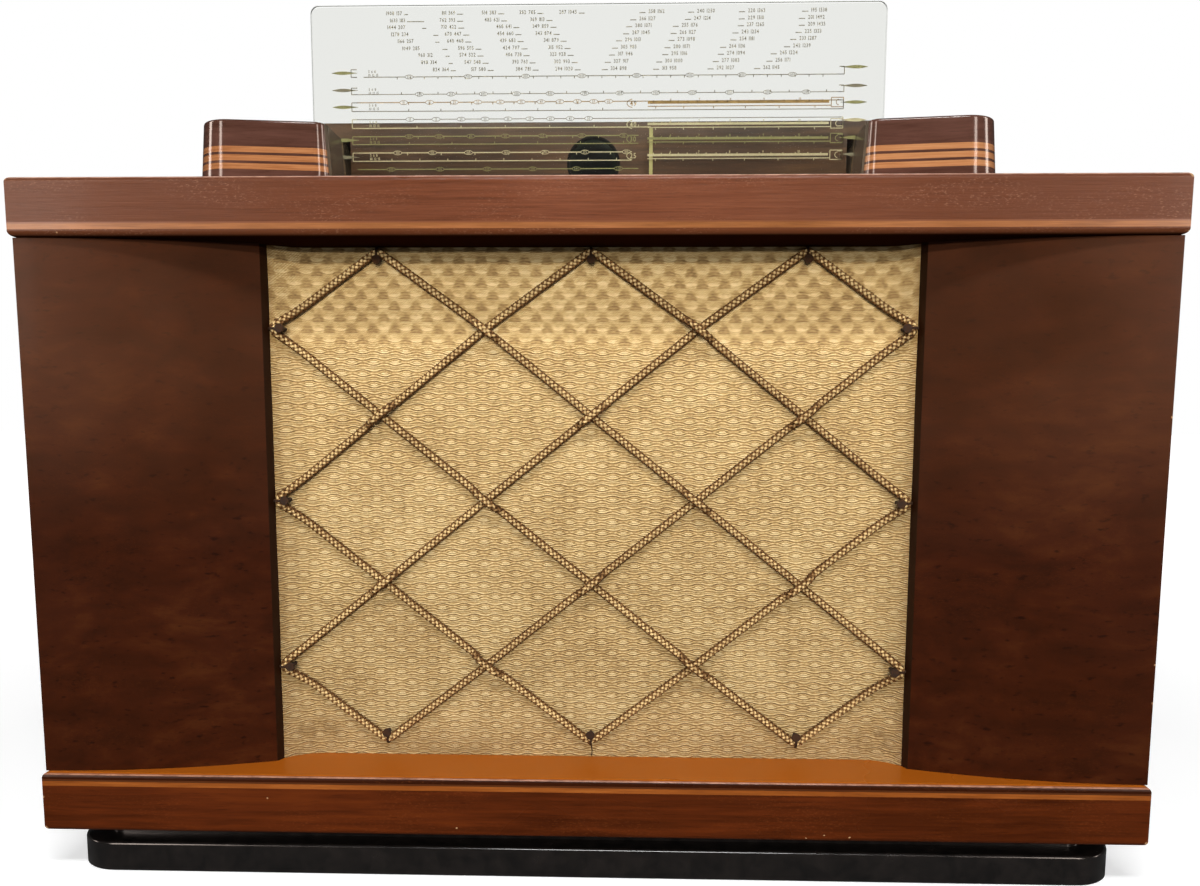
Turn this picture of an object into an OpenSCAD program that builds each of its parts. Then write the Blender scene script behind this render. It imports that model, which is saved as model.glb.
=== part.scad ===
// Table radio receiver: veneered cabinet with bow-fronted columns, a roped grille,
// and a glass dial that stands between two laminated pods and slides down into the top.
// Millimetres. X to the right, Y to the back, Z up, floor at z = 0, centred in X and Y.

/* [Boards] */
// Width of the top board and the base board
cabinet_w = 620; // [600:1:660]
// Depth of the top board and the base board
cabinet_d = 290; // [285:1:320]
// Thickness of the top board
top_t = 31; // [26:0.5:36]
// Thickness of the base board
base_t = 34; // [28:0.5:40]
// Clear height between the two boards
wall_h = 296; // [292:1:320]
// Radius worn on the long edges of the boards
edge_r = 3; // [1:0.5:3.2]
// Height of the light inlay strip
inlay_h = 3.8; // [2:0.1:5]
// Depth that the inlay strip is let into the wood
inlay_depth = 1.2; // [0.8:0.1:3]
// Wood left between the inlay strip and the board's inner edge
inlay_margin = 3.6; // [3.4:0.1:6]

/* [Plinth] */
// Thickness of the black plinth board
plinth_t = 17; // [12:0.5:22]
// Distance from the board's end to the plinth's end
plinth_side_inset = 10.5; // [10:0.5:40]
// Distance from the board's front to the plinth's front
plinth_front_inset = 6; // [4:0.5:20]
// Corner radius of the plinth in plan
plinth_r = 25; // [10:1:40]
// Height of the recessed packing between plinth and base board
spacer_t = 9; // [5:0.5:14]
// Distance that the packing is set in from the plinth's edge
spacer_inset = 14; // [8:1:30]

/* [Columns] */
// Width of each bow-fronted column
column_w = 127; // [115:1:134]
// Distance from the board's front to the column's outer edge
column_setback = 4.2; // [2:0.1:6]
// Radius of the bowed front in plan
bow_r = 380; // [370:1:450]
// Thickness of the bowed panel
column_t = 18; // [15:0.5:20]
// Radius of the nose at the column's inner edge
nose_r = 5; // [3:0.5:6]

/* [Side and back panels] */
// Thickness of a side panel
side_t = 12; // [9:0.5:14]
// Distance from the board's end to the side panel's outer face
side_inset = 2; // [1:0.5:5]
// Thickness of the hardboard back
back_t = 3; // [2:0.5:4]
// Distance from the board's back to the back's outer face
back_inset = 2; // [1.8:0.1:6]
// Width of a vent slot in the back
vent_w = 6; // [4:0.5:8]
// Length of a vent slot in the back
vent_l = 40; // [20:1:60]
// Number of vent slots in a row
vent_count = 15; // [5:1:20]

/* [Baffle and cloth] */
// Distance from the board's front to the baffle board
baffle_setback = 42; // [40:0.5:44]
// Thickness of the baffle board
baffle_t = 12; // [9:0.5:12]
// Distance that the baffle board reaches behind each column
baffle_lap = 12; // [8:1:30]
// Thickness of the grille cloth
cloth_t = 1; // [0.6:0.1:1.5]
// Width of the cove where the cloth rises towards a column
cove_w = 23; // [16:1:28]
// Height of that cove
cove_h = 12.2; // [6:0.2:12.6]

/* [Rope lattice] */
// Diameter of the two-tone rope
rope_d = 5.2; // [4:0.1:6]
// Distance from a column to the lattice's side corners
lattice_side = 2.1; // [2:0.1:9]
// Height of the half diamonds in the top row
top_row_z = 43.5; // [38:0.1:44]
// Height of the half diamonds in the bottom row
bottom_row_z = 46.6; // [38:0.1:50]
// Distance from the top board down to the lattice's top corners
lattice_top = 2.3; // [2.2:0.1:6]
// Distance from the base board up to the lattice's bottom corners
lattice_bottom = 9.8; // [6:0.1:14]
// Diameter of a nail
nail_d = 2.2; // [1.6:0.1:3]
// Diameter of a nail's head
nail_head_d = 5; // [4:0.1:6]
// Thickness of a nail's head
nail_head_t = 0.8; // [0.5:0.1:1.5]
// Length of a nail in the baffle board
nail_hold = 8; // [5:0.5:8.5]

/* [Pods and dial] */
// Distance of the dial's middle to the right of the cabinet's middle
dial_x = 2; // [-3:0.5:3]
// Width of glass that stands inside each pod
glass_hold = 18.3; // [14:0.1:22]
// Width of a pod at its foot
pod_w = 73; // [50:1:80]
// Depth of a pod
pod_d = 92; // [80:1:110]
// Height of a pod
pod_h = 33; // [28:0.5:40]
// Distance from the board's front to a pod's outer front corner
pod_setback = 14; // [6:0.5:24]
// Distance that a pod's inner front corner is further back
pod_skew = 6; // [0:0.5:12]
// Radius of a pod's front corners
pod_r = 18; // [10:0.5:24]
// Lean of a pod's sides, in degrees
pod_draft = 4; // [0:0.5:6]
// Radius of a pod's top edge
pod_top_r = 2.5; // [1:0.5:4]
// Height of the first light band of a pod
band_start = 5.3; // [3:0.1:7]
// Height of each light band of a pod
band_h = 3.3; // [2:0.1:4]
// Height of the dark line between two light bands
band_gap = 1.1; // [0.6:0.1:2]
// Width of the dial glass
glass_w = 325; // [310:1:330]
// Thickness of the dial glass
glass_t = 4; // [3:0.1:4.4]
// Height of the dial glass above the top board
glass_rise = 105; // [90:1:110]
// Distance from the board's front to the glass
glass_setback = 56.5; // [56:0.1:57]
// Length of glass that stays below the top board
glass_tail = 6; // [4:0.5:10]
// Radius of the glass's top corners
glass_r = 5; // [2:0.5:12]
// Clearance round the glass in its grooves
glass_gap = 0.4; // [0.3:0.05:0.6]
// Height of the metal channel on the glass's lower edge
channel_h = 10; // [8:0.5:12]
// Wall of that channel
channel_t = 1; // [0.8:0.1:1.2]

/* [Dial housing] */
// Distance from the board's front to the housing behind the glass
housing_setback = 68; // [67.5:0.5:72]
// Depth of that housing
housing_d = 64; // [56:1:80]
// Height of that housing
housing_h = 42; // [38:0.5:50]
// Wall of that housing
housing_wall = 6; // [4:0.5:8]
// Diameter of the tuning eye
eye_d = 29; // [24:0.5:30]
// Height of the tuning eye's middle above the top board
eye_z = 20; // [18:0.5:22]
// Radius that the housing's back edge is rounded to
housing_r = 14; // [8:1:20]
// Length of the tuning eye tube
eye_l = 52; // [40:1:54]

/* [Pointer] */
// Pointer's place at rest, from the cabinet's middle
pointer_x = 33.2; // [0:0.1:60]
// Distance from either end of the pointer's travel to the slot's end
pointer_stop = 6; // [5:0.5:20]
// Width of the pointer
pointer_w = 2; // [1:0.1:3]
// Thickness of the pointer
pointer_t = 1; // [0.8:0.1:1.4]
// Height of the pointer above the top board
pointer_rise = 39; // [30:0.5:40]
// Distance from the board's front to the pointer
pointer_setback = 63; // [62.6:0.1:63.4]
// Diameter of the pointer's guide rod
rod_d = 5; // [4:0.1:6]
// Distance from the top board down to the guide rod
rod_drop = 14; // [12:0.5:20]
// Diameter of a cord pulley
pulley_d = 16; // [12:0.5:18]
// Thickness of a cord pulley
pulley_t = 4; // [3:0.5:5]

/* [Speaker] */
// Outside diameter of the speaker's flange
speaker_d = 196; // [180:1:200]
// Diameter of the speaker opening in the baffle board
speaker_hole_d = 172; // [150:1:174]
// Height of the speaker's middle above the base board
speaker_z = 108; // [104:0.5:110]
// Depth of the speaker's basket
basket_d = 50; // [44:1:52]
// Diameter of the speaker's magnet
magnet_d = 80; // [60:1:84]
// Length of the speaker's magnet
magnet_l = 35; // [25:1:38]

/* [Chassis] */
// Height of the chassis
chassis_h = 60; // [56:1:62]
// Thickness of the chassis steel
chassis_t = 1.5; // [1:0.1:2]
// Distance from the board's front to the chassis
chassis_setback = 112; // [110:1:116]
// Clearance between the chassis and a side panel
chassis_gap = 11; // [6:1:16]
// Diameter of a 4 mm plug socket
socket_d = 4; // [4:0.1:4.2]
// Distance between two sockets
socket_pitch = 19; // [16:0.5:20]
// Diameter of the cord hole in the mains grommet
grommet_bore = 7; // [6:0.5:9]

/* [Gang capacitor] */
// Distance from the side panel to the capacitor's shaft
gang_side = 101; // [96:0.5:104]
// Height of the capacitor's shaft above the base board
gang_z = 97; // [95:0.5:100]
// Diameter of the capacitor's shaft
gang_shaft_d = 8; // [6:0.1:10]
// Radius of the moving plates
vane_r = 26; // [20:0.5:28]
// Thickness of a plate
vane_t = 1; // [0.8:0.1:1.2]
// Distance from one moving plate to the next
vane_pitch = 4.4; // [4:0.1:4.6]
// Number of moving plates in each of the two sections
vane_count = 5; // [3:1:5]

/* [Controls] */
// Distance from the board's front to the control shafts
control_setback = 185; // [170:1:200]
// Height of the control shafts above the base board
control_z = 32; // [31:0.5:34]
// Diameter of a middle shaft
shaft_d = 6; // [5:0.1:6.4]
// Outside diameter of a sleeve shaft
sleeve_d = 10; // [9:0.1:12]
// Running clearance of a shaft in its bore, on the radius
run_gap = 0.05; // [0.02:0.01:0.08]
// Diameter of a middle knob
knob_d = 38; // [30:1:44]
// Length of a middle knob
knob_l = 17; // [12:0.5:22]
// Diameter of a ring knob
ring_d = 48; // [44:1:54]
// Length of a ring knob
ring_l = 9; // [7:0.5:12]
// Number of flutes round a knob
flute_count = 24; // [12:2:36]

/* [Hidden] */
$fn = 96;

// Heights of the stacked boards
spacer_z = plinth_t;
base_z = spacer_z + spacer_t;
floor_z = base_z + base_t;
ceiling_z = floor_z + wall_h;
top_z = ceiling_z + top_t;
half_w = cabinet_w / 2;
front_y = -cabinet_d / 2;
seat_gap = 0.2;
cut = 1;
board_fn = 48;

// Column and panel places
column_in = half_w - column_w;
bow_y = front_y + column_setback + bow_r;
nose_x = column_in + nose_r;
nose_reach = bow_r - nose_r;
nose_y = bow_y - sqrt(nose_reach * nose_reach - (half_w - nose_x) * (half_w - nose_x));
nose_touch_x = half_w - (half_w - nose_x) * bow_r / nose_reach;
baffle_y = front_y + baffle_setback;
baffle_back_y = baffle_y + baffle_t;
side_out = half_w - side_inset;
side_in = side_out - side_t;
side_reach = half_w - side_in;
column_inner_r = bow_r - column_t;
side_front_y = bow_y - sqrt(column_inner_r * column_inner_r - side_reach * side_reach) + seat_gap;
back_y = cabinet_d / 2 - back_inset - back_t;

// Cloth surface, as its distance behind the front: flat, then a parabola up to the columns
cove_start = column_in - cove_w;
cove_k = cove_h / (cove_w * cove_w);
cove_steps = 8;
cloth_front = baffle_setback - cloth_t;
function cove_rise(x) = cove_k * pow(max(abs(x) - cove_start, 0), 2);
function cove_slope(x) = 2 * cove_k * max(abs(x) - cove_start, 0);
function cloth_y(x) = front_y + cloth_front - cove_rise(x);
function cloth_path() = concat(
    [for (k = [0 : cove_steps]) -column_in + cove_w * k / cove_steps],
    [for (k = [0 : cove_steps]) cove_start + cove_w * k / cove_steps]);

// Rope lattice: three closed loops that bounce between the four rows of nails
rope_r = rope_d / 2;
rope_sides = 8;
rope_gap = 0.35;
nail_r = nail_d / 2;
turn_r = rope_r + nail_r + rope_gap;
diamond_z = (wall_h - lattice_top - lattice_bottom - top_row_z - bottom_row_z) / 4;
lattice_mid_z = floor_z + lattice_bottom + bottom_row_z + 2 * diamond_z;
loop_steps = 12;
half_cells = 3;
hump_far = 12;
hump_near = 4;
hump_h = rope_d + 0.4;
loop_starts = [-2, 0, 2];
diamond_x = (column_in - lattice_side) / half_cells;
function bounce(m) = abs(((m % loop_steps) + loop_steps) % loop_steps - 2 * half_cells) - half_cells;
function col_of(start, n) = bounce(n + 9 + start);
function row_of(n) = bounce(n);
function row_height(k) = abs(k) < half_cells ? diamond_z * k
    : k > 0 ? 2 * diamond_z + top_row_z : -2 * diamond_z - bottom_row_z;
function grid_at(i, k) = [diamond_x * i, lattice_mid_z + row_height(k)];
function vertex(start, n) = grid_at(col_of(start, n), row_of(n));
function unit(v) = v / norm(v);
function is_nail(start, n) = abs(col_of(start, n)) == half_cells || abs(row_of(n)) == half_cells;
function falling(start, n) =
    (col_of(start, n + 1) - col_of(start, n)) * (row_of(n + 1) - row_of(n)) < 0;
function is_over(start, n) = falling(start, n) == (row_of(n) % 2 == 0);
function rope_y(x) = cloth_y(x) - (rope_r + rope_gap) * sqrt(1 + pow(cove_slope(x), 2));
function ring_at(p, lift) = [p[0], rope_y(p[0]) - lift, p[1]];
function turn_rings(p, u, v) =
    let (half_turn = acos(u * v) / 2, run = turn_r * tan(half_turn))
    [ring_at(p - u * run, 0),
     ring_at(p + unit(v - u) * turn_r * (1 / cos(half_turn) - 1), 0),
     ring_at(p + v * run, 0)];
function hump_rings(p, u) =
    [ring_at(p - u * hump_far, 0), ring_at(p - u * hump_near, hump_h),
     ring_at(p + u * hump_near, hump_h), ring_at(p + u * hump_far, 0)];
function cove_ring(p, q) =
    abs(q[0]) > cove_start && abs(p[0]) < cove_start
        ? [ring_at(p + (q - p) * (cove_start - abs(p[0])) / (abs(q[0]) - abs(p[0])), 0)]
    : abs(p[0]) > cove_start && abs(q[0]) < cove_start
        ? [ring_at(q + (p - q) * (cove_start - abs(q[0])) / (abs(p[0]) - abs(q[0])), 0)]
    : [];
function vertex_rings(start, n) =
    let (p = vertex(start, n), u = unit(p - vertex(start, n - 1)), q = vertex(start, n + 1),
         v = unit(q - p))
    concat(is_nail(start, n) ? turn_rings(p, u, v)
        : is_over(start, n) ? hump_rings(p, v) : [ring_at(p, 0)], cove_ring(p, q));
function loop_path(start) = [for (n = [0 : loop_steps - 1]) each vertex_rings(start, n)];
function nail_place(start, n) =
    let (p = vertex(start, n), u = unit(p - vertex(start, n - 1)),
         v = unit(vertex(start, n + 1) - p), half_turn = acos(u * v) / 2)
    [p + unit(v - u) * turn_r / cos(half_turn),
     p + unit(v - u) * turn_r * (1 / cos(half_turn) - 1)];
nail_places = [for (start = loop_starts) for (n = [0 : loop_steps - 1])
    if (is_nail(start, n)) nail_place(start, n)];

// Pod and dial places
pod_inner = glass_w / 2 - glass_hold;
pod_rear_r = 6;
bevel_share = 0.3;
glass_y = front_y + glass_setback;
groove_y = glass_y - glass_gap;
groove_w = glass_t + 2 * glass_gap;
groove_x = glass_w / 2 + glass_gap;
glass_top = top_z + glass_rise;
glass_low = ceiling_z - glass_tail;
channel_top = ceiling_z - seat_gap;
channel_low = channel_top - channel_h;
band_pitch = band_h + band_gap;
band_count = 3;
corner_fn = 32;
slice_t = 0.01;
housing_y = front_y + housing_setback;
housing_gap = 0.3;
housing_half = pod_inner - housing_gap;
eye_mid_z = top_z + eye_z;
eye_proud = 1.5;
eye_base_l = 5;
eye_base_r = 10.5;
channel_in = 10;

// Pointer, rail and pulleys
rod_z = ceiling_z - rod_drop;
pointer_y = front_y + pointer_setback;
carriage_d = 9;
carriage_w = 16;
carriage_y = pointer_y + pointer_t;
rod_y = carriage_y + carriage_d / 2;
slot_wood = 0.5;
slot_margin = 3.2;
slot_back_y = housing_y - slot_wood;
slot_half = pod_inner - slot_margin;
pointer_left = dial_x - slot_half + pointer_stop;
pointer_right = dial_x + slot_half - pointer_stop;
rail_gap = 3;
rail_below = 12;
rail_plate_y = carriage_y + carriage_d + rail_gap;
rail_plate_t = 1.5;
rail_plate_h = rod_drop + rail_below;
rail_block_w = 6;
rail_block_gap = 9;
rail_block_in = slot_half + rail_block_gap;
rod_end = 1;
pulley_gap = 2;
pulley_rim = 0.8;
pulley_groove = 1.2;
pulley_x = rail_block_in + rail_block_w + pulley_d / 2 + pulley_gap;
pulley_y = rail_plate_y - pulley_t - seat_gap;
pin_r = 1.5;
pin_cap_r = 3;
pin_cap_t = 1;

// Two small lamps that hang under the top board and light the glass from below
lamp_x = 110;
lamp_r = 5;
lamp_l = 12;
lamp_plate_w = 16;
lamp_plate_t = 2;
lamp_y = rail_plate_y + rail_plate_t + lamp_l;

// Speaker places
speaker_mid_z = floor_z + speaker_z;
flange_t = 3;
basket_wall = 2;
cone_wall = 1;
cone_roll = 8;
cone_neck = 4;
gap_depth = 8;
coil_r = 14;
pole_gap = 3;
throat_gap = 3;
magnet_chamfer = 4;
magnet_seat = 0.5;
window_w = 28;
window_l = 30;
window_in = 8;

// Chassis places
chassis_half = side_in - chassis_gap;
chassis_y = front_y + chassis_setback;
chassis_room = 5;
chassis_back_y = back_y - chassis_room;
chassis_top = floor_z + chassis_h;
control_y = front_y + control_setback;
control_mid_z = floor_z + control_z;
bush_r = 9;
bush_out = 7;
bush_gap = 0.1;
bush_room = 3;
switch_r = 22;
potentiometer_r = 19;
socket_room = 2;
socket_count = 4;
socket_plate_t = 6;
socket_plate_h = 16;
socket_in = 225;
socket_x = -chassis_half + socket_in;
socket_z = 30;
socket_mid_z = floor_z + socket_z;
grommet_in = 85;
grommet_x = -chassis_half + grommet_in;
grommet_r = 9;
grommet_lip = 3;
grommet_neck = 6.5;

// Gang capacitor places: half a turn of the drum carries the pointer over its whole travel
drum_r = (pointer_right - pointer_left) / PI;
rest_turn = 180 * (pointer_x - pointer_left) / (pointer_right - pointer_left);
drum_setback = 62;
drum_y = front_y + drum_setback;
drum_t = 6;
drum_rim = 2.5;
drum_web = 2.5;
drum_band = 6;
drum_lip = 1.5;
drum_hub_r = 12;
drum_hub_t = 12;
drum_holes = 6;
drum_hole_r = 0.2 * drum_r;
drum_hole_x = 0.58 * drum_r;
press_gap = 0.02;
gang_mid_z = floor_z + gang_z;
gang_x = side_in - gang_side;
gang_setback = 84;
gang_front_y = front_y + gang_setback;
gang_l = 76;
gang_end = 10;
shaft_end = 2;
gang_plate_t = 2;
gang_half = 36;
section_l = vane_count * vane_pitch;
section_starts = [gang_front_y + gang_end, gang_front_y + gang_l - gang_end - section_l];
stator_reach = 6;
stator_r = vane_r + stator_reach;
stator_in = 4;
stator_rod_in = 3;
stator_rod_r = 1.5;
vane_hub_r = 7;
hub_gap = 2;

// Valves, transformers and cans on the chassis
mains_in = 70;
mains_x = -chassis_half + mains_in;
mains_back = 70;
mains_w = 90;
mains_t = 50;
mains_h = 78;
output_in = 50;
output_x = mains_x + mains_w / 2 + output_in;
output_front = 40;
output_w = 56;
output_t = 26;
output_h = 46;
winding_w = 0.62;
winding_h = 0.64;
winding_out = 10;
valve_back = 45;
valve_base_r = 16;
valve_base_h = 24;
valve_shoulder = 8;
valve_waist = 1;
rectifier_in = 40;
rectifier_x = mains_x + mains_w / 2 + rectifier_in;
rectifier_r = 20;
rectifier_h = 105;
big_valve_pitch = 60;
output_valve_x = rectifier_x + big_valve_pitch;
output_valve_r = 21;
output_valve_h = 115;
small_valve_in = 145;
small_valve_x = gang_x - small_valve_in;
small_valve_pitch = 70;
small_valve_r = 15.5;
small_valve_h = 92;
can_w = 34;
can_h = 70;
can_r = 4;
can_gap = 4;
can_pitch = 64;
can_back = 90;
can_x = gang_x - gang_half - can_gap - can_w / 2;
electrolytic_x = -20;
electrolytic_front = 60;
electrolytic_r = 18;
electrolytic_h = 84;
electrolytic_foot_r = 20;
electrolytic_foot_h = 4;

// Knob places, outward from the side panel
ring_gap = 1.5;
knob_gap = 1;
knob_face = 5;
knob_chamfer = 2;
flute_r = 1.4;
flute_out = 0.6;
ring_x = side_out + ring_gap;
knob_x = ring_x + ring_l + knob_gap;
knob_hold = knob_l - knob_face;

// Control bodies inside the chassis wall
inner_x = chassis_half - chassis_t;
body_l = 20;
sleeve_in = 6;
body_floor_t = 2;
spindle_l = 12;
spindle_r = 6;
spindle_gap = 1;
spindle_end = 2;
spindle_x = inner_x - body_l - spindle_l - spindle_gap;

// Back and its screws
screw_r = 1.6;
screw_head_r = 3.5;
screw_head_t = 1.6;
screw_l = 14;
screw_end = 14;
screw_count = 4;
back_gap = 1;
back_low = chassis_top + back_gap;
back_high = ceiling_z - back_gap;
screw_x = side_out - side_t / 2;
vent_rows = [0.3, 0.7];
vent_side = 40;
vent_span = 2 * (side_in - vent_side);

module at_front_axis(x, y, z) {
    translate([x, y, z])
        rotate([-90, 0, 0])
            children();
}

module rounded_rect(w, h, r) {
    translate([0, r])
        square([w, h - 2 * r]);
    translate([r, 0])
        square([w - 2 * r, h]);
    for (x = [r, w - r])
        for (y = [r, h - r])
            translate([x, y])
                circle(r, $fn = board_fn);
}

// Board with every long edge rounded, from a lengthwise and a crosswise profile
module worn_board(z, t) {
    intersection() {
        translate([-half_w, front_y, z])
            rotate([90, 0, 90])
                linear_extrude(cabinet_w)
                    rounded_rect(cabinet_d, t, edge_r);
        translate([-half_w, -front_y, z])
            rotate([90, 0, 0])
                linear_extrude(cabinet_d)
                    rounded_rect(cabinet_w, t, edge_r);
    }
}

// Strip that runs round the front and both ends of a board
module inlay_strip(z) {
    translate([0, 0, z])
        linear_extrude(inlay_h)
            difference() {
                translate([-half_w, front_y])
                    square([cabinet_w, cabinet_d - edge_r]);
                translate([-half_w + inlay_depth, front_y + inlay_depth])
                    square([cabinet_w - 2 * inlay_depth, cabinet_d]);
            }
}

module plinth_outline(inset) {
    x = half_w - plinth_side_inset - inset;
    y = -front_y - plinth_front_inset - inset;
    r = max(plinth_r - inset, 1);
    translate([-x, -y])
        rounded_rect(2 * x, 2 * y, r);
}

module plinth_board() {
    color("#17120f")
        linear_extrude(plinth_t)
            plinth_outline(0);
}

module plinth_spacer() {
    color("#0d0b0a")
        translate([0, 0, spacer_z])
            linear_extrude(spacer_t)
                plinth_outline(spacer_inset);
}

module base_board() {
    color("#6e3a1e")
        difference() {
            worn_board(base_z, base_t);
            inlay_strip(floor_z - inlay_margin - inlay_h);
        }
}

module base_inlay() {
    color("#b87a48")
        inlay_strip(floor_z - inlay_margin - inlay_h);
}

// The glass passes through the front part of the slot and the pointer through the back part
module dial_slots() {
    translate([dial_x - groove_x, groove_y, ceiling_z - cut])
        cube([2 * groove_x, groove_w, top_t + 2 * cut]);
    translate([dial_x - slot_half, groove_y, ceiling_z - cut])
        cube([2 * slot_half, slot_back_y - groove_y, top_t + 2 * cut]);
}

module top_board() {
    color("#7c4b32")
        difference() {
            worn_board(ceiling_z, top_t);
            inlay_strip(ceiling_z + inlay_margin);
            dial_slots();
        }
}

module top_inlay() {
    color("#b87a48")
        inlay_strip(ceiling_z + inlay_margin);
}

// Plan of the right-hand column: a bowed panel that ends in a round nose at the cloth
module column_plan() {
    intersection() {
        difference() {
            translate([half_w, bow_y])
                circle(bow_r, $fn = 360);
            translate([half_w, bow_y])
                circle(column_inner_r, $fn = 360);
        }
        translate([nose_touch_x, front_y])
            square([half_w - nose_touch_x, baffle_setback]);
    }
    translate([nose_x, nose_y])
        circle(nose_r, $fn = board_fn);
    translate([column_in, nose_y])
        square([nose_r, baffle_y - nose_y]);
}

module column() {
    color("#54341f")
        translate([0, 0, floor_z])
            linear_extrude(wall_h)
                column_plan();
}

module right_column() {
    column();
}

module left_column() {
    mirror([1, 0, 0])
        column();
}

module side_panel() {
    color("#5d341f")
        difference() {
            translate([side_in, side_front_y, floor_z])
                cube([side_t, back_y - side_front_y, wall_h]);
            translate([side_in - cut, control_y, control_mid_z])
                rotate([0, 90, 0])
                    cylinder(h = side_t + 2 * cut, r = bush_r + bush_room);
            back_screw_holes(screw_r);
        }
}

module right_side_panel() {
    side_panel();
}

module left_side_panel() {
    mirror([1, 0, 0])
        side_panel();
}

module baffle_board() {
    half = column_in + baffle_lap;
    color("#a5815a")
        difference() {
            translate([-half, baffle_y, floor_z])
                cube([2 * half, baffle_t, wall_h]);
            at_front_axis(0, baffle_y - cut, speaker_mid_z)
                cylinder(h = baffle_t + 2 * cut, d = speaker_hole_d);
            nail_holes();
        }
}

// Wooden beads that lift the cloth towards the columns
module cove_beads() {
    start = cove_start + cove_w / cove_steps;
    steps = cove_steps - 1;
    rise_x = [for (k = [0 : steps]) start + (column_in - start) * k / steps];
    color("#a5815a")
        difference() {
            for (side = [-1, 1])
                translate([0, 0, floor_z])
                    linear_extrude(wall_h)
                        polygon(concat([for (x = rise_x) [side * x, cloth_y(x) + cloth_t]],
                            [[side * column_in, baffle_y], [side * start, baffle_y]]));
            nail_holes();
        }
}

module grille_cloth() {
    path = cloth_path();
    last = len(path) - 1;
    color("#cdaf85")
        difference() {
            translate([0, 0, floor_z])
                linear_extrude(wall_h)
                    polygon(concat([for (x = path) [x, cloth_y(x)]],
                        [for (k = [last : -1 : 0]) [path[k], cloth_y(path[k]) + cloth_t]]));
            nail_holes();
        }
}

// Tube round a closed path, with one ring of points at each point of the path
module rope_loop(path) {
    n = len(path);
    points = [for (k = [0 : n - 1])
        let (t = unit(path[(k + 1) % n] - path[(k + n - 1) % n]), b = unit(cross(t, [0, 1, 0])),
             a = cross(b, t))
        for (s = [0 : rope_sides - 1])
            path[k] + rope_r * (cos(360 * s / rope_sides) * a + sin(360 * s / rope_sides) * b)];
    faces = [for (k = [0 : n - 1]) for (s = [0 : rope_sides - 1])
        let (here = k * rope_sides, next = ((k + 1) % n) * rope_sides, w = (s + 1) % rope_sides)
        each [[here + s, next + w, next + s], [here + s, here + w, next + w]]];
    polyhedron(points, faces);
}

module rope_lattice() {
    color("#8a6a44")
        for (start = loop_starts)
            rope_loop(loop_path(start));
}

module nail_holes() {
    for (place = nail_places)
        at_front_axis(place[0][0], front_y, place[0][1])
            cylinder(h = baffle_setback + nail_hold, r = nail_r + run_gap, $fn = 24);
}

module rope_nails() {
    color("#15110f")
        for (place = nail_places) {
            head_y = rope_y(place[1][0]) - rope_r - rope_gap - nail_head_t;
            at_front_axis(place[0][0], head_y, place[0][1]) {
                cylinder(h = baffle_y + nail_hold - head_y, r = nail_r, $fn = 24);
                cylinder(h = nail_head_t, d = nail_head_d, $fn = 24);
            }
        }
}

module back_screw_holes(r) {
    for (side = [-1, 1])
        for (k = [0 : screw_count - 1])
            at_front_axis(side * screw_x, back_y - screw_l + back_t, back_screw_z(k))
                cylinder(h = screw_l + cut, r = r + run_gap, $fn = 24);
}

function back_screw_z(k) =
    back_low + screw_end + (back_high - back_low - 2 * screw_end) * k / (screw_count - 1);

module back_panel() {
    color("#5a4230")
        difference() {
            translate([-side_out + back_gap, back_y, back_low])
                cube([2 * (side_out - back_gap), back_t, back_high - back_low]);
            for (row = vent_rows)
                for (k = [0 : vent_count - 1])
                    translate([-vent_span / 2 + vent_span * k / (vent_count - 1) - vent_w / 2,
                            back_y - cut, back_low + row * (back_high - back_low) - vent_l / 2])
                        cube([vent_w, back_t + 2 * cut, vent_l]);
            back_screw_holes(screw_r);
        }
}

module back_panel_screws() {
    color("#8d8d86")
        for (side = [-1, 1])
            for (k = [0 : screw_count - 1])
                at_front_axis(side * screw_x, back_y - screw_l + back_t, back_screw_z(k)) {
                    cylinder(h = screw_l, r = screw_r, $fn = 24);
                    translate([0, 0, screw_l])
                        cylinder(h = screw_head_t, r = screw_head_r, $fn = 24);
                }
}

// Plan of the right-hand pod, drawn in by inset all round
module pod_plan(inset) {
    r = pod_r - inset;
    out_x = pod_inner + pod_w;
    hull() {
        translate([out_x - pod_r, front_y + pod_setback + pod_r])
            circle(r, $fn = corner_fn);
        translate([pod_inner + pod_r, front_y + pod_setback + pod_skew + pod_r])
            circle(r, $fn = corner_fn);
        for (x = [pod_inner + pod_rear_r, out_x - pod_rear_r])
            translate([x, front_y + pod_setback + pod_d - pod_rear_r])
                circle(pod_rear_r - inset, $fn = corner_fn);
    }
}

function pod_inset(h) = h * tan(pod_draft);

module pod_slice(h, inset) {
    translate([0, 0, top_z + h])
        linear_extrude(slice_t)
            pod_plan(inset);
}

module pod_layer(low, high) {
    hull() {
        pod_slice(low, pod_inset(low));
        pod_slice(high - slice_t, pod_inset(high));
    }
}

module pod_groove() {
    translate([0, groove_y, top_z - cut])
        cube([groove_x, groove_w, pod_h + 2 * cut]);
}

function band_low(k) = band_start + k * band_pitch;

module pod_dark() {
    crown = pod_h - pod_top_r;
    bevel = pod_top_r * bevel_share;
    color("#4a2313")
        difference() {
            union() {
                pod_layer(0, band_start);
                for (k = [1 : band_count - 1])
                    pod_layer(band_low(k) - band_gap, band_low(k));
                hull() {
                    pod_slice(band_low(band_count - 1) + band_h, pod_inset(band_low(band_count)));
                    pod_slice(crown, pod_inset(crown));
                    pod_slice(pod_h - bevel, pod_inset(pod_h) + bevel);
                    pod_slice(pod_h - slice_t, pod_inset(pod_h) + pod_top_r);
                }
            }
            pod_groove();
        }
}

module pod_light() {
    color("#b57038")
        difference() {
            for (k = [0 : band_count - 1])
                pod_layer(band_low(k), band_low(k) + band_h);
            pod_groove();
        }
}

module right_pod() {
    translate([dial_x, 0, 0])
        pod_dark();
}

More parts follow.
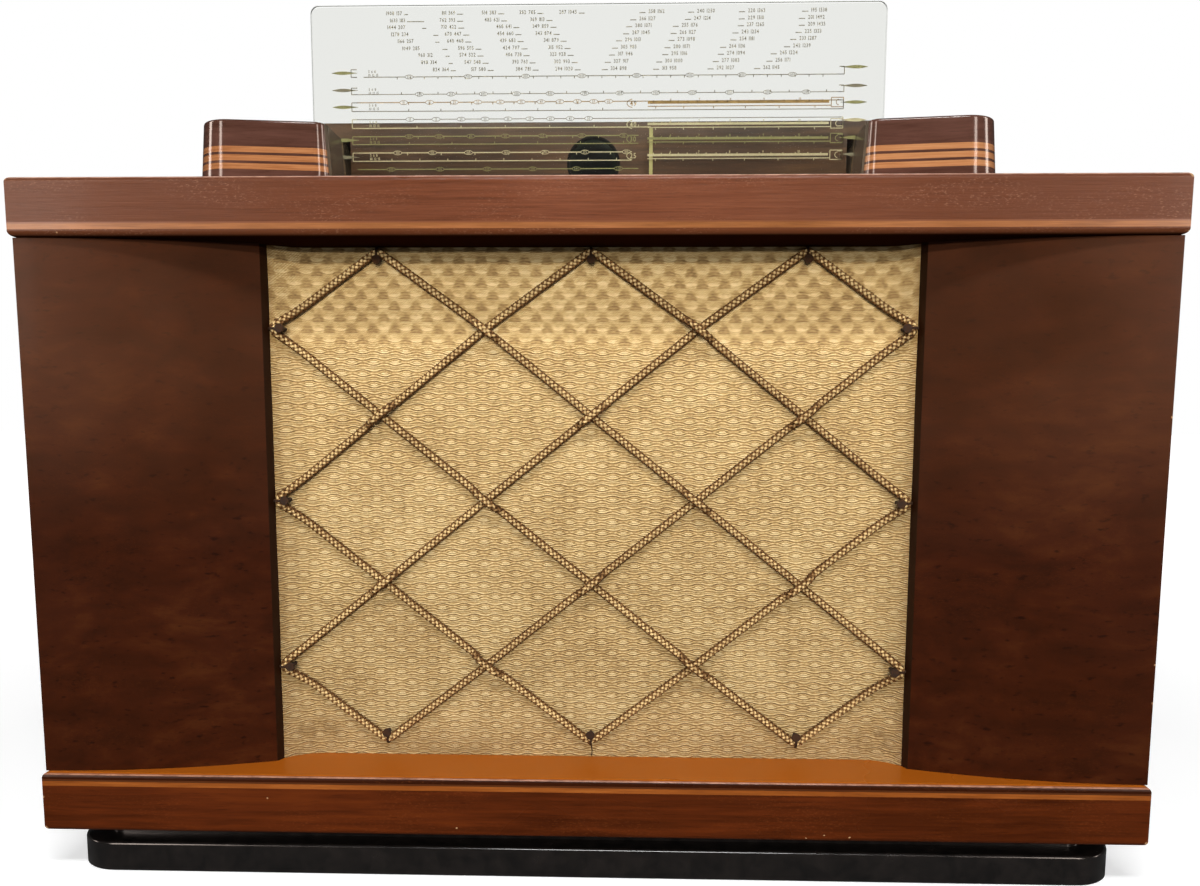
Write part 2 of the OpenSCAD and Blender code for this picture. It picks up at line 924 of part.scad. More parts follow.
module left_pod() {
    translate([dial_x, 0, 0])
        mirror([1, 0, 0])
            pod_dark();
}

module right_pod_bands() {
    translate([dial_x, 0, 0])
        pod_light();
}

module left_pod_bands() {
    translate([dial_x, 0, 0])
        mirror([1, 0, 0])
            pod_light();
}

// Side profile of the housing: upright front, rounded over at the back
module housing_profile() {
    square([housing_d - housing_r, housing_h]);
    square([housing_d, housing_h - housing_r]);
    translate([housing_d - housing_r, housing_h - housing_r])
        circle(housing_r);
}

// Housing behind the glass, open below, that holds the tuning eye
module dial_housing() {
    color("#2a1c14")
        difference() {
            translate([dial_x - housing_half, housing_y, top_z])
                rotate([90, 0, 90])
                    linear_extrude(2 * housing_half)
                        housing_profile();
            translate([dial_x - housing_half + housing_wall, housing_y + housing_wall, top_z - cut])
                cube([2 * (housing_half - housing_wall), housing_d - 2 * housing_wall,
                    housing_h - housing_wall + cut]);
            at_front_axis(0, housing_y - cut, eye_mid_z)
                cylinder(h = housing_wall + 2 * cut, d = eye_d + 2 * run_gap);
        }
}

module tuning_eye() {
    color("#0c0f0c")
        at_front_axis(0, housing_y - eye_proud, eye_mid_z) {
            cylinder(h = eye_l, d = eye_d);
            translate([0, 0, eye_l])
                cylinder(h = eye_base_l, r = eye_base_r);
        }
}

// Lamp: plate, holder and bulb, from the top board down
module dial_lamps() {
    holder_z = -lamp_plate_t - lamp_l;
    color("#d9d2c0")
        for (side = [-1, 1])
            translate([dial_x + side * lamp_x, lamp_y, ceiling_z]) {
                translate([-lamp_plate_w / 2, -lamp_plate_w / 2, -lamp_plate_t])
                    cube([lamp_plate_w, lamp_plate_w, lamp_plate_t]);
                translate([0, 0, holder_z])
                    cylinder(h = lamp_l, r = lamp_r + 1);
                translate([0, 0, holder_z - lamp_l])
                    cylinder(h = lamp_l, r = lamp_r);
                translate([0, 0, holder_z - lamp_l])
                    sphere(lamp_r);
            }
}

// Steel plate under the top board with the pointer's rod and the pins of the cord pulleys
module pointer_rail() {
    plate_half = pulley_x + pulley_d / 2 + pulley_gap;
    color("#9a9a98")
        union() {
            translate([dial_x - plate_half, rail_plate_y, ceiling_z - rail_plate_h])
                cube([2 * plate_half, rail_plate_t, rail_plate_h]);
            for (side = [-1, 1]) {
                translate([dial_x + side * (rail_block_in + rail_block_w / 2) - rail_block_w / 2,
                        carriage_y + rod_end, rod_z - rod_d])
                    cube([rail_block_w, rail_plate_y - carriage_y - rod_end, 2 * rod_d]);
                at_front_axis(dial_x + side * pulley_x, pulley_y - pin_cap_t - seat_gap, rod_z) {
                    cylinder(h = rail_plate_y - pulley_y + pin_cap_t + seat_gap, r = pin_r);
                    cylinder(h = pin_cap_t, r = pin_cap_r);
                }
            }
            translate([dial_x - rail_block_in - rod_end, rod_y, rod_z])
                rotate([0, 90, 0])
                    cylinder(h = 2 * (rail_block_in + rod_end), d = rod_d);
        }
}

module pulley(x) {
    color("#b8862f")
        at_front_axis(x, pulley_y, rod_z)
            difference() {
                rotate_extrude()
                    polygon([[0, 0], [pulley_d / 2, 0], [pulley_d / 2, pulley_rim],
                        [pulley_d / 2 - pulley_groove, pulley_t / 2],
                        [pulley_d / 2, pulley_t - pulley_rim], [pulley_d / 2, pulley_t],
                        [0, pulley_t]]);
                translate([0, 0, -cut])
                    cylinder(h = pulley_t + 2 * cut, r = pin_r + run_gap);
            }
}

module left_pulley() {
    pulley(dial_x - pulley_x);
}

module right_pulley() {
    pulley(dial_x + pulley_x);
}

module pointer() {
    color("#cfd08a")
        difference() {
            union() {
                translate([pointer_x - pointer_w / 2, pointer_y, rod_z - carriage_d / 2])
                    cube([pointer_w, pointer_t, top_z + pointer_rise - rod_z + carriage_d / 2]);
                translate([pointer_x - carriage_w / 2, carriage_y, rod_z - carriage_d / 2])
                    cube([carriage_w, carriage_d, carriage_d]);
            }
            translate([pointer_x - carriage_w / 2 - cut, rod_y, rod_z])
                rotate([0, 90, 0])
                    cylinder(h = carriage_w + 2 * cut, r = rod_d / 2 + run_gap);
        }
}

module dial_glass() {
    color("#e8ebe2", 0.35)
        translate([dial_x - glass_w / 2, glass_y + glass_t, glass_low])
            rotate([90, 0, 0])
                linear_extrude(glass_t)
                    union() {
                        square([glass_w, glass_top - glass_low - glass_r]);
                        translate([glass_r, 0])
                            square([glass_w - 2 * glass_r, glass_top - glass_low]);
                        for (x = [glass_r, glass_w - glass_r])
                            translate([x, glass_top - glass_low - glass_r])
                                circle(glass_r, $fn = board_fn);
                    }
}

// Channel cemented on the glass's lower edge, which stops it under the top board
module glass_channel() {
    w = glass_w - 2 * channel_in;
    color("#a08a55")
        difference() {
            translate([dial_x - w / 2, glass_y - channel_t, channel_low])
                cube([w, glass_t + 2 * channel_t, channel_h]);
            translate([dial_x - glass_w / 2, glass_y, glass_low])
                cube([glass_w, glass_t, channel_h]);
        }
}

module speaker_basket() {
    r = speaker_d / 2;
    mouth = speaker_hole_d / 2 + basket_wall;
    throat = magnet_d / 2 + throat_gap;
    hole = coil_r + cone_neck;
    color("#6f7376")
        at_front_axis(0, baffle_back_y, speaker_mid_z)
            difference() {
                rotate_extrude()
                    polygon([[mouth - basket_wall, 0], [r, 0], [r, flange_t], [mouth, flange_t],
                        [throat, basket_d - basket_wall], [throat, basket_d], [hole, basket_d],
                        [hole, basket_d - basket_wall], [throat - basket_wall,
                        basket_d - basket_wall], [mouth - basket_wall, flange_t]]);
                for (a = [45 : 90 : 315])
                    rotate([0, 0, a])
                        translate([(mouth + throat) / 2 - window_in, -window_w / 2,
                                flange_t + window_in])
                            cube([window_l, window_w, basket_d - flange_t - 2.5 * window_in]);
            }
}

module speaker_cone() {
    rim = speaker_hole_d / 2 - cone_wall;
    color("#2c2926")
        at_front_axis(0, baffle_back_y, speaker_mid_z)
            rotate_extrude()
                polygon([[rim - cone_roll, cone_wall], [rim, cone_wall], [rim, 2 * cone_wall],
                    [rim - cone_roll, 2 * cone_wall], [coil_r, basket_d - cone_roll],
                    [coil_r, basket_d + cone_neck], [coil_r - cone_wall, basket_d + cone_neck],
                    [coil_r - cone_wall, basket_d - cone_roll - cone_wall]]);
}

module speaker_magnet() {
    pole_r = coil_r - pole_gap;
    ring_r = coil_r + hub_gap;
    color("#3c3f42")
        at_front_axis(0, baffle_back_y + basket_d, speaker_mid_z)
            rotate_extrude()
                polygon([[0, magnet_seat], [pole_r, magnet_seat], [pole_r, gap_depth],
                    [ring_r, gap_depth], [ring_r, 0], [magnet_d / 2, 0],
                    [magnet_d / 2, magnet_l - magnet_chamfer],
                    [magnet_d / 2 - magnet_chamfer, magnet_l], [0, magnet_l]]);
}

// Steel tray, open below, that carries the works
module chassis() {
    depth = chassis_back_y - chassis_y;
    color("#a9abaa")
        difference() {
            translate([-chassis_half, chassis_y, floor_z])
                cube([2 * chassis_half, depth, chassis_h]);
            translate([-chassis_half + chassis_t, chassis_y + chassis_t, floor_z - cut])
                cube([2 * (chassis_half - chassis_t), depth - 2 * chassis_t,
                    chassis_h - chassis_t + cut]);
            for (side = [-1, 1])
                translate([side * (chassis_half - chassis_t / 2), control_y, control_mid_z])
                    rotate([0, 90, 0])
                        cylinder(h = chassis_t + 2 * cut, r = bush_r + bush_gap, center = true);
            at_front_axis(grommet_x, chassis_back_y - chassis_t - cut, socket_mid_z)
                cylinder(h = chassis_t + 2 * cut, r = grommet_neck);
            for (k = [0 : socket_count - 1])
                at_front_axis(socket_place(k), chassis_back_y - chassis_t - cut, socket_mid_z)
                    cylinder(h = chassis_t + 2 * cut, r = socket_d / 2 + socket_room);
        }
}

function socket_place(k) = socket_x + (k - (socket_count - 1) / 2) * socket_pitch;

// Iron core with its winding standing out at the front and at the back
module laminated_core(w, t, h) {
    coil_w = w * winding_w;
    coil_h = h * winding_h;
    translate([-w / 2, -t / 2, 0])
        cube([w, t, h]);
    translate([-coil_w / 2, -t / 2 - winding_out, (h - coil_h) / 2])
        cube([coil_w, t + 2 * winding_out, coil_h]);
}

module mains_transformer() {
    color("#3a3532")
        translate([mains_x, chassis_back_y - mains_back, chassis_top])
            laminated_core(mains_w, mains_t, mains_h);
}

module output_transformer() {
    color("#4a4039")
        translate([output_x, chassis_y + output_front, chassis_top])
            laminated_core(output_w, output_t, output_h);
}

// Valve: base, shoulder and domed bulb
module valve(x, bulb_r, h) {
    bulb_z = valve_base_h + valve_shoulder;
    color("#4b4a45")
        translate([x, chassis_back_y - valve_back, chassis_top]) {
            cylinder(h = valve_base_h, r = valve_base_r);
            translate([0, 0, valve_base_h])
                cylinder(h = valve_shoulder, r1 = valve_base_r - valve_waist, r2 = bulb_r);
            translate([0, 0, bulb_z])
                cylinder(h = h - bulb_z - bulb_r, r = bulb_r);
            translate([0, 0, h - bulb_r])
                sphere(bulb_r);
        }
}

module rectifier_valve() {
    valve(rectifier_x, rectifier_r, rectifier_h);
}

module output_valve() {
    valve(output_valve_x, output_valve_r, output_valve_h);
}

module amplifier_valve() {
    valve(small_valve_x, small_valve_r, small_valve_h);
}

module mixer_valve() {
    valve(small_valve_x + small_valve_pitch, small_valve_r, small_valve_h);
}

module coil_cans() {
    color("#b9bbbb")
        for (x = [can_x - can_pitch, can_x])
            translate([x - can_w / 2, chassis_back_y - can_back - can_w / 2, chassis_top])
                linear_extrude(can_h)
                    rounded_rect(can_w, can_w, can_r);
}

module electrolytic_can() {
    color("#c3c5c4")
        translate([electrolytic_x, chassis_y + electrolytic_front, chassis_top]) {
            cylinder(h = electrolytic_foot_h, r = electrolytic_foot_r);
            cylinder(h = electrolytic_h, r = electrolytic_r);
        }
}

module gang_end_plate(y) {
    translate([gang_x - gang_half, y, chassis_top + gang_plate_t])
        cube([2 * gang_half, gang_plate_t, gang_mid_z - chassis_top - gang_plate_t + gang_half]);
}

module gang_frame() {
    color("#8f8a78")
        difference() {
            union() {
                translate([gang_x - gang_half, gang_front_y, chassis_top])
                    cube([2 * gang_half, gang_l, gang_plate_t]);
                gang_end_plate(gang_front_y);
                gang_end_plate(gang_front_y + gang_l - gang_plate_t);
            }
            at_front_axis(gang_x, gang_front_y - cut, gang_mid_z)
                cylinder(h = gang_l + 2 * cut, r = gang_shaft_d / 2 + run_gap);
        }
}

// Fixed plates on the left of the shaft, held by two rods between the end plates
module gang_stator() {
    rod_reach = (stator_r - stator_rod_in) * cos(45);
    color("#c9c9c4")
        union() {
            for (y = section_starts)
                for (k = [0 : vane_count])
                    at_front_axis(gang_x, y + (k - 0.5) * vane_pitch, gang_mid_z)
                        linear_extrude(vane_t)
                            difference() {
                                intersection() {
                                    circle(stator_r);
                                    translate([-stator_r, -stator_r])
                                        square([stator_r - stator_in, 2 * stator_r]);
                                }
                                circle(vane_hub_r + hub_gap);
                            }
            for (side = [-1, 1])
                at_front_axis(gang_x - rod_reach, gang_front_y + gang_plate_t,
                        gang_mid_z + side * rod_reach)
                    cylinder(h = gang_l - 2 * gang_plate_t, r = stator_rod_r);
        }
}

// Shaft and moving half-round plates, turned from the closed position to the pointer's place
module gang_rotor() {
    rear_y = gang_front_y + gang_l + shaft_end;
    color("#d2d2cc")
        union() {
            at_front_axis(gang_x, drum_y - shaft_end, gang_mid_z)
                cylinder(h = rear_y - drum_y + shaft_end, d = gang_shaft_d);
            translate([gang_x, 0, gang_mid_z])
                rotate([0, rest_turn, 0])
                    for (y = section_starts)
                        for (k = [0 : vane_count - 1])
                            at_front_axis(0, y + k * vane_pitch, 0) {
                                linear_extrude(vane_t)
                                    intersection() {
                                        circle(vane_r);
                                        translate([-vane_r, -vane_r])
                                            square([vane_r, 2 * vane_r]);
                                    }
                                cylinder(h = vane_t, r = vane_hub_r);
                            }
        }
}

module tuning_drum() {
    rim_r = drum_r + drum_rim;
    web_r = drum_r - drum_band;
    color("#b4b6b5")
        at_front_axis(gang_x, drum_y, gang_mid_z)
            difference() {
                rotate_extrude($fn = 180)
                    polygon([[0, 0], [rim_r, 0], [rim_r, drum_lip], [drum_r, drum_t / 2],
                        [rim_r, drum_t - drum_lip], [rim_r, drum_t], [web_r, drum_t],
                        [web_r, drum_web], [drum_hub_r, drum_web], [drum_hub_r, drum_hub_t],
                        [0, drum_hub_t]]);
                translate([0, 0, -cut])
                    cylinder(h = drum_hub_t + 2 * cut, r = gang_shaft_d / 2 + press_gap);
                for (k = [0 : drum_holes - 1])
                    rotate([0, 0, 360 * k / drum_holes])
                        translate([drum_hole_x, 0, -cut])
                            cylinder(h = drum_t + 2 * cut, r = drum_hole_r);
            }
}

// Everything on a control's axis is drawn along +Z and laid along +X or -X
module on_right_axis() {
    translate([0, control_y, control_mid_z])
        rotate([0, 90, 0])
            children();
}

module on_left_axis() {
    translate([0, control_y, control_mid_z])
        rotate([0, -90, 0])
            children();
}

module fluted(r, l) {
    difference() {
        rotate_extrude()
            polygon([[0, 0], [r, 0], [r, l - knob_chamfer], [r - knob_chamfer, l], [0, l]]);
        for (k = [0 : flute_count - 1])
            rotate([0, 0, 360 * k / flute_count])
                translate([r + flute_out, 0, -cut])
                    cylinder(h = l + 2 * cut, r = flute_r, $fn = 16);
    }
}

module middle_knob() {
    color("#33190f")
        difference() {
            translate([0, 0, knob_x])
                fluted(knob_d / 2, knob_l);
            translate([0, 0, knob_x - cut])
                cylinder(h = knob_hold + cut, r = shaft_d / 2 + press_gap);
        }
}

module ring_knob() {
    color("#33190f")
        difference() {
            translate([0, 0, ring_x])
                fluted(ring_d / 2, ring_l);
            translate([0, 0, ring_x - cut])
                cylinder(h = ring_l + 2 * cut, r = sleeve_d / 2 + press_gap);
        }
}

// Middle shaft from its inner end, at start, to the floor of the knob's bore
module middle_shaft(start) {
    color("#b9b39a")
        translate([0, 0, start])
            cylinder(h = knob_x + knob_hold - knob_gap - start, d = shaft_d);
}

// Spindle on the tuning shaft, round which the drive cord is wound
module cord_spindle() {
    color("#b9b39a")
        translate([0, 0, spindle_x])
            cylinder(h = spindle_l, r = spindle_r);
}

module sleeve_shaft() {
    color("#c2a35a")
        translate([0, 0, inner_x - body_l + sleeve_in])
            difference() {
                cylinder(h = ring_x + ring_l - inner_x + body_l - sleeve_in, d = sleeve_d);
                translate([0, 0, -cut])
                    cylinder(h = ring_x + ring_l - inner_x + body_l, r = shaft_d / 2 + run_gap);
            }
}

// Control body inside the chassis wall, with the bush that its shafts turn in
module control_body(r, floor_t) {
    difference() {
        union() {
            translate([0, 0, inner_x - body_l])
                cylinder(h = body_l, r = r);
            translate([0, 0, inner_x - cut])
                cylinder(h = chassis_t + bush_out + cut, r = bush_r);
        }
        translate([0, 0, inner_x - body_l + floor_t])
            cylinder(h = body_l, r = shaft_d / 2 + run_gap);
        translate([0, 0, inner_x - body_l + sleeve_in - seat_gap])
            cylinder(h = body_l + bush_out + chassis_t, r = sleeve_d / 2 + run_gap);
    }
}

module band_switch() {
    color("#7a5a34")
        on_right_axis()
            control_body(switch_r, -cut);
}

module volume_control() {
    color("#8c8f90")
        on_left_axis()
            control_body(potentiometer_r, body_floor_t);
}

module tuning_knob() {
    on_right_axis()
        middle_knob();
}

module tuning_shaft() {
    on_right_axis()
        union() {
            middle_shaft(spindle_x - spindle_end);
            cord_spindle();
        }
}

module band_knob() {
    on_right_axis()
        ring_knob();
}

module band_sleeve() {
    on_right_axis()
        sleeve_shaft();
}

module volume_knob() {
    on_left_axis()
        middle_knob();
}

module volume_shaft() {
    on_left_axis()
        middle_shaft(inner_x - body_l + body_floor_t + seat_gap);
}

module tone_knob() {
    on_left_axis()
        ring_knob();
}

module tone_sleeve() {
    on_left_axis()
        sleeve_shaft();
}

module socket_strip() {
    w = socket_pitch * socket_count;
    color("#2b211b")
        difference() {
            translate([socket_x - w / 2, chassis_back_y, socket_mid_z - socket_plate_h / 2])
                cube([w, socket_plate_t, socket_plate_h]);
            for (k = [0 : socket_count - 1])
                at_front_axis(socket_place(k), chassis_back_y - cut, socket_mid_z)
                    cylinder(h = socket_plate_t + 2 * cut, d = socket_d);
        }
}

module mains_grommet() {
    color("#1b1a19")
        at_front_axis(grommet_x, chassis_back_y - chassis_t, socket_mid_z)
            difference() {
                union() {
                    cylinder(h = chassis_t + grommet_lip, r = grommet_neck - run_gap);
                    translate([0, 0, chassis_t])
                        cylinder(h = grommet_lip, r = grommet_r);
                }
                translate([0, 0, -cut])
                    cylinder(h = chassis_t + grommet_lip + 2 * cut, d = grommet_bore);
            }
}

plinth_board();
plinth_spacer();
base_board();
base_inlay();
top_board();
top_inlay();
left_column();
right_column();
left_side_panel();
right_side_panel();
baffle_board();
cove_beads();
grille_cloth();
rope_lattice();
rope_nails();
back_panel();
back_panel_screws();
left_pod();
right_pod();
left_pod_bands();
right_pod_bands();
dial_housing();
tuning_eye();
dial_lamps();
pointer_rail();
speaker_basket();
speaker_cone();
speaker_magnet();
chassis();
mains_transformer();
output_transformer();
mixer_valve();
amplifier_valve();
output_valve();
rectifier_valve();
coil_cans();
electrolytic_can();
gang_frame();
gang_stator();
band_switch();
volume_control();
socket_strip();
mains_grommet();
dial_glass();
glass_channel();
pointer();
left_pulley();
right_pulley();
gang_rotor();
tuning_drum();
tuning_knob();
tuning_shaft();
band_knob();
band_sleeve();
volume_knob();
volume_shaft();
tone_knob();
tone_sleeve();
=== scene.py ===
# Table radio receiver: finishes, rope lattice, grille cloth, dial print, lamps and camera.
# Lengths are millimetres until a mesh is made. X to the right, Y to the back, Z up.
from functools import partial
from math import cos, pi, radians, sin

import bpy
import numpy as np
from mathutils import Matrix, Vector


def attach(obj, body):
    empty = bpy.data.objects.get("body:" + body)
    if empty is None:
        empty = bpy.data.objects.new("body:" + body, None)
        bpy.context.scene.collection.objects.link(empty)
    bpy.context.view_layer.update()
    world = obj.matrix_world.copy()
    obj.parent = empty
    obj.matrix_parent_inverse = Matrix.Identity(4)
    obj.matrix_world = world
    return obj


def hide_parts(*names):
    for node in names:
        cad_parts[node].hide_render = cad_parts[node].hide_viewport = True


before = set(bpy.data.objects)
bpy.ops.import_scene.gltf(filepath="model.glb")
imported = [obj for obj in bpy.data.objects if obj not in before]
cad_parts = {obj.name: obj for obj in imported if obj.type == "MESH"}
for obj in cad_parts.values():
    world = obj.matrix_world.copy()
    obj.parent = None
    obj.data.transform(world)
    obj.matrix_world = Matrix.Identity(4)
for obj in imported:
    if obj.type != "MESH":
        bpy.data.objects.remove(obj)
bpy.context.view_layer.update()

MM = 0.001

# Places and sizes of the cabinet, cloth and rope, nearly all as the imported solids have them
FRONT_Y = -145.0
HALF_W = 310.0
FLOOR_Z, CEILING_Z, TOP_Z = 60.0, 356.0, 387.0
COLUMN_IN, BOW_R, COLUMN_T, COLUMN_BACK = 183.0, 380.0, 18.0, -103.0
LIP_IN, LIP_BACK = 2.2, 2.6
BOW_Y = FRONT_Y + 4.2 + BOW_R
COVE_W, COVE_H, CLOTH_Y = 23.0, 12.2, -104.0
ROPE_R, ROPE_GAP, NAIL_R = 2.6, 0.35, 1.1
TURN_R = ROPE_R + NAIL_R + ROPE_GAP
DIAMOND_X, DIAMOND_Z, TOP_ROW, BOTTOM_ROW = 60.3, 48.45, 43.5, 46.6
LATTICE_Z = 213.3
HUMP_H, HUMP_NEAR, HUMP_FAR = 5.6, 4.0, 12.0
# Steps and length of a braid's turn, corners of a loop, and how far each loop is shifted
BRAID_STEPS, BRAID_TURN, CORNERS, LOOP_STARTS = 24, 12.0, 12, (-2, 0, 2)
# Where a braid's strands lie and how thick they are, and the radius of the thread's rings
STRAND_AT, STRAND_SWING, STRAND_THIN, STRAND_WIDE, THREAD_AT = 1.62, 0.34, 0.58, 0.78, 2.75
# Dial, pods, housing, tuning eye and knobs, in the same way
DIAL_X, GLASS_Y, GLASS_T, GLASS_W = 2.0, -88.5, 4.0, 325.0
GLASS_LOW, GLASS_TOP = 350.0, 492.0
GROOVE = (-88.9, -84.1, 162.9)
POD_IN, POD_W, POD_D, POD_H, POD_FRONT, POD_SKEW = 144.2, 73.0, 92.0, 33.0, -131.0, 6.0
POD_R, POD_IN_R, POD_REAR_R, POD_DRAFT, POD_TOP_R = 18.0, 10.0, 6.0, radians(4), 1.4
BAND_START, BAND_H, BAND_PITCH, BAND_COUNT = 6.6, 3.1, 4.5, 3
HOUSING_Y, HOUSING_D, HOUSING_H, HOUSING_R = -77.0, 64.0, 43.6, 14.0
HOUSING_HALF, HOUSING_WALL = 143.9, 6.0
SHOULDER_W, SHOULDER_BACK = 19.0, -42.0
EYE_Z, EYE_FRONT, EYE_L = 407.0, -78.5, 52.0
CONTROL_Y, CONTROL_Z, RING_X, KNOB_X = 40.0, 92.0, 309.5, 319.5


# Meshes

def put_mesh(name, points, faces, material, body="cabinet", slot=None, sharp=35.0):
    """Makes a mesh object from points in millimetres and faces as rows of point numbers.
    Edges that bend more than sharp degrees stay crisp and the rest are shaded round."""
    mesh = bpy.data.meshes.new(name)
    mesh.from_pydata((np.asarray(points) * MM).tolist(), [], [list(map(int, f)) for f in faces])
    mesh.polygons.foreach_set("use_smooth", np.ones(len(mesh.polygons), bool))
    mesh.set_sharp_from_angle(angle=radians(sharp))
    mesh.materials.append(material)
    piece = bpy.data.objects.new(name, mesh)
    bpy.context.scene.collection.objects.link(piece)
    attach(piece, body)
    return piece


def quads(rows, cols, around=True, closed=False):
    """Quads between neighbouring rows of a grid of points. around joins the last column to
    the first, closed joins the last row to the first."""
    r = np.arange(rows if closed else rows - 1)[:, None]
    c = np.arange(cols if around else cols - 1)[None, :]
    here, ahead, c2 = r * cols, (r + 1) % rows * cols, (c + 1) % cols
    return np.stack([here + c, here + c2, ahead + c2, ahead + c], -1).reshape(-1, 4)


def tower(rings):
    """Closed solid from a stack of rings of equal length, with a flat face on each end."""
    rings = np.asarray(rings)
    rows, cols = rings.shape[:2]
    low, high = list(range(cols))[::-1], list(range((rows - 1) * cols, rows * cols))
    return rings.reshape(-1, 3), quads(rows, cols).tolist() + [low, high]


def joined(parts):
    """One list of points and one of faces from several solids."""
    points, faces, start = [], [], 0
    for p, f in parts:
        points.append(np.asarray(p))
        faces += [[start + i for i in face] for face in f]
        start += len(p)
    return np.concatenate(points), faces


def carried(plan, axis, levels):
    """Solid from a flat closed outline carried along axis 0, 1 or 2 from level to level."""
    return tower([np.insert(plan, axis, level, axis=1) for level in levels])


def lathe(profile, steps, centre):
    """Solid of revolution: profile rows are (distance behind the centre, radius), turned
    round the line through the centre that runs to the back."""
    along, radius = np.asarray(profile, float).T
    turn = np.linspace(0, 2 * pi, steps, endpoint=False)
    return tower(np.stack([centre[0] + np.outer(radius, np.sin(turn)),
                           centre[1] + np.repeat(along[:, None], steps, 1),
                           centre[2] + np.outer(radius, np.cos(turn))], -1))


def unit(v):
    """Vectors of length 1 along the given ones, a row each."""
    return v / np.linalg.norm(v, axis=-1, keepdims=True)


def tubes(paths, radius, sides, closed=True):
    """Round tubes of one radius along paths, each an array of points. The cross-section at a
    point lies across the direction between its two neighbours."""
    parts = []
    turn = np.linspace(0, 2 * pi, sides, endpoint=False)
    for path in paths:
        path = np.asarray(path, float)
        t = np.roll(path, -1, 0) - np.roll(path, 1, 0)
        if not closed:
            t[0], t[-1] = path[1] - path[0], path[-1] - path[-2]
        t = unit(t)
        b = unit(np.cross(t, [0.31, 0.93, 0.2]))
        a = np.cross(b, t)
        rings = (path[:, None] + radius * (np.cos(turn)[None, :, None] * a[:, None]
                                           + np.sin(turn)[None, :, None] * b[:, None]))
        if closed:
            parts.append((rings.reshape(-1, 3), quads(len(path), sides, closed=True).tolist()))
        else:
            parts.append(tower(rings))
    return joined(parts)


def mirrored(part):
    """The same solid on the other side of x = 0, its faces turned to point outwards again."""
    points, faces = part
    return np.asarray(points) * [-1, 1, 1], [f[::-1] for f in faces]


def shifted(part, dx):
    """The same solid moved to the right by dx."""
    points, faces = part
    return np.asarray(points) + [dx, 0, 0], faces


# Finishes

def linear(code):
    """sRGB hex to linear colour."""
    v = np.array([int(code[i:i + 2], 16) / 255 for i in (1, 3, 5)])
    v = np.where(v <= 0.04045, v / 12.92, ((v + 0.055) / 1.055) ** 2.4)
    return (*v.tolist(), 1.0)


def add(tree, kind, *values, stops=(), **settings):
    """Adds a shader node and returns its outputs. kind may carry an operation after a dot.
    values are its inputs, in order or as one dict by name or number: a number, a vector, a
    hex colour, another node's output, or all of its outputs, of which the first is taken.
    stops gives a ramp's (place, hex) pairs."""
    kind, _, operation = kind.partition(".")
    node = tree.nodes.new("ShaderNode" + kind)
    if operation:
        node.operation = operation
    for name, value in settings.items():
        setattr(node, name, value)
    by_name = len(values) == 1 and isinstance(values[0], dict)
    for name, value in (values[0] if by_name else dict(enumerate(values))).items():
        if isinstance(value, str):
            value = linear(value)
        elif isinstance(value, bpy.types.bpy_prop_collection):
            value = value[0]
        if isinstance(value, bpy.types.NodeSocket):
            tree.links.new(value, node.inputs[name])
        else:
            node.inputs[name].default_value = value
    if stops:
        marks = node.color_ramp.elements
        while len(marks) < len(stops):
            marks.new(0.5)
        for mark, (place, code) in zip(marks, stops):
            mark.position, mark.color = place, linear(code)
    return node.outputs


def new_finish(name):
    """A material with no nodes yet, and add() for its own tree."""
    material = bpy.data.materials.new(name)
    material.use_nodes = True
    material.node_tree.nodes.clear()
    return material, partial(add, material.node_tree)


def stretched(node, size):
    """Object coordinates divided by size, given in millimetres along X, Y and Z."""
    scale = tuple(1 / (v * MM) for v in size)
    return node("Mapping", {"Vector": node("TexCoord")["Object"], "Scale": scale})


def cloud(node, size, detail=2.0, rough=0.5, **seeded):
    """Noise whose lumps are size millimetres along X, Y and Z. W=number picks another one."""
    return node("TexNoise", {"Vector": stretched(node, size), "Scale": 1.0, "Detail": detail,
                             "Roughness": rough, **seeded},
                noise_dimensions="4D" if seeded else "3D")


def strip(node, value, low, high):
    """1 where value lies between low and high, 0 elsewhere, with soft edges."""
    soft = 0.15
    return node("Math.MULTIPLY", node("MapRange", value, low - soft, low + soft),
                node("MapRange", value, high + soft, high - soft))


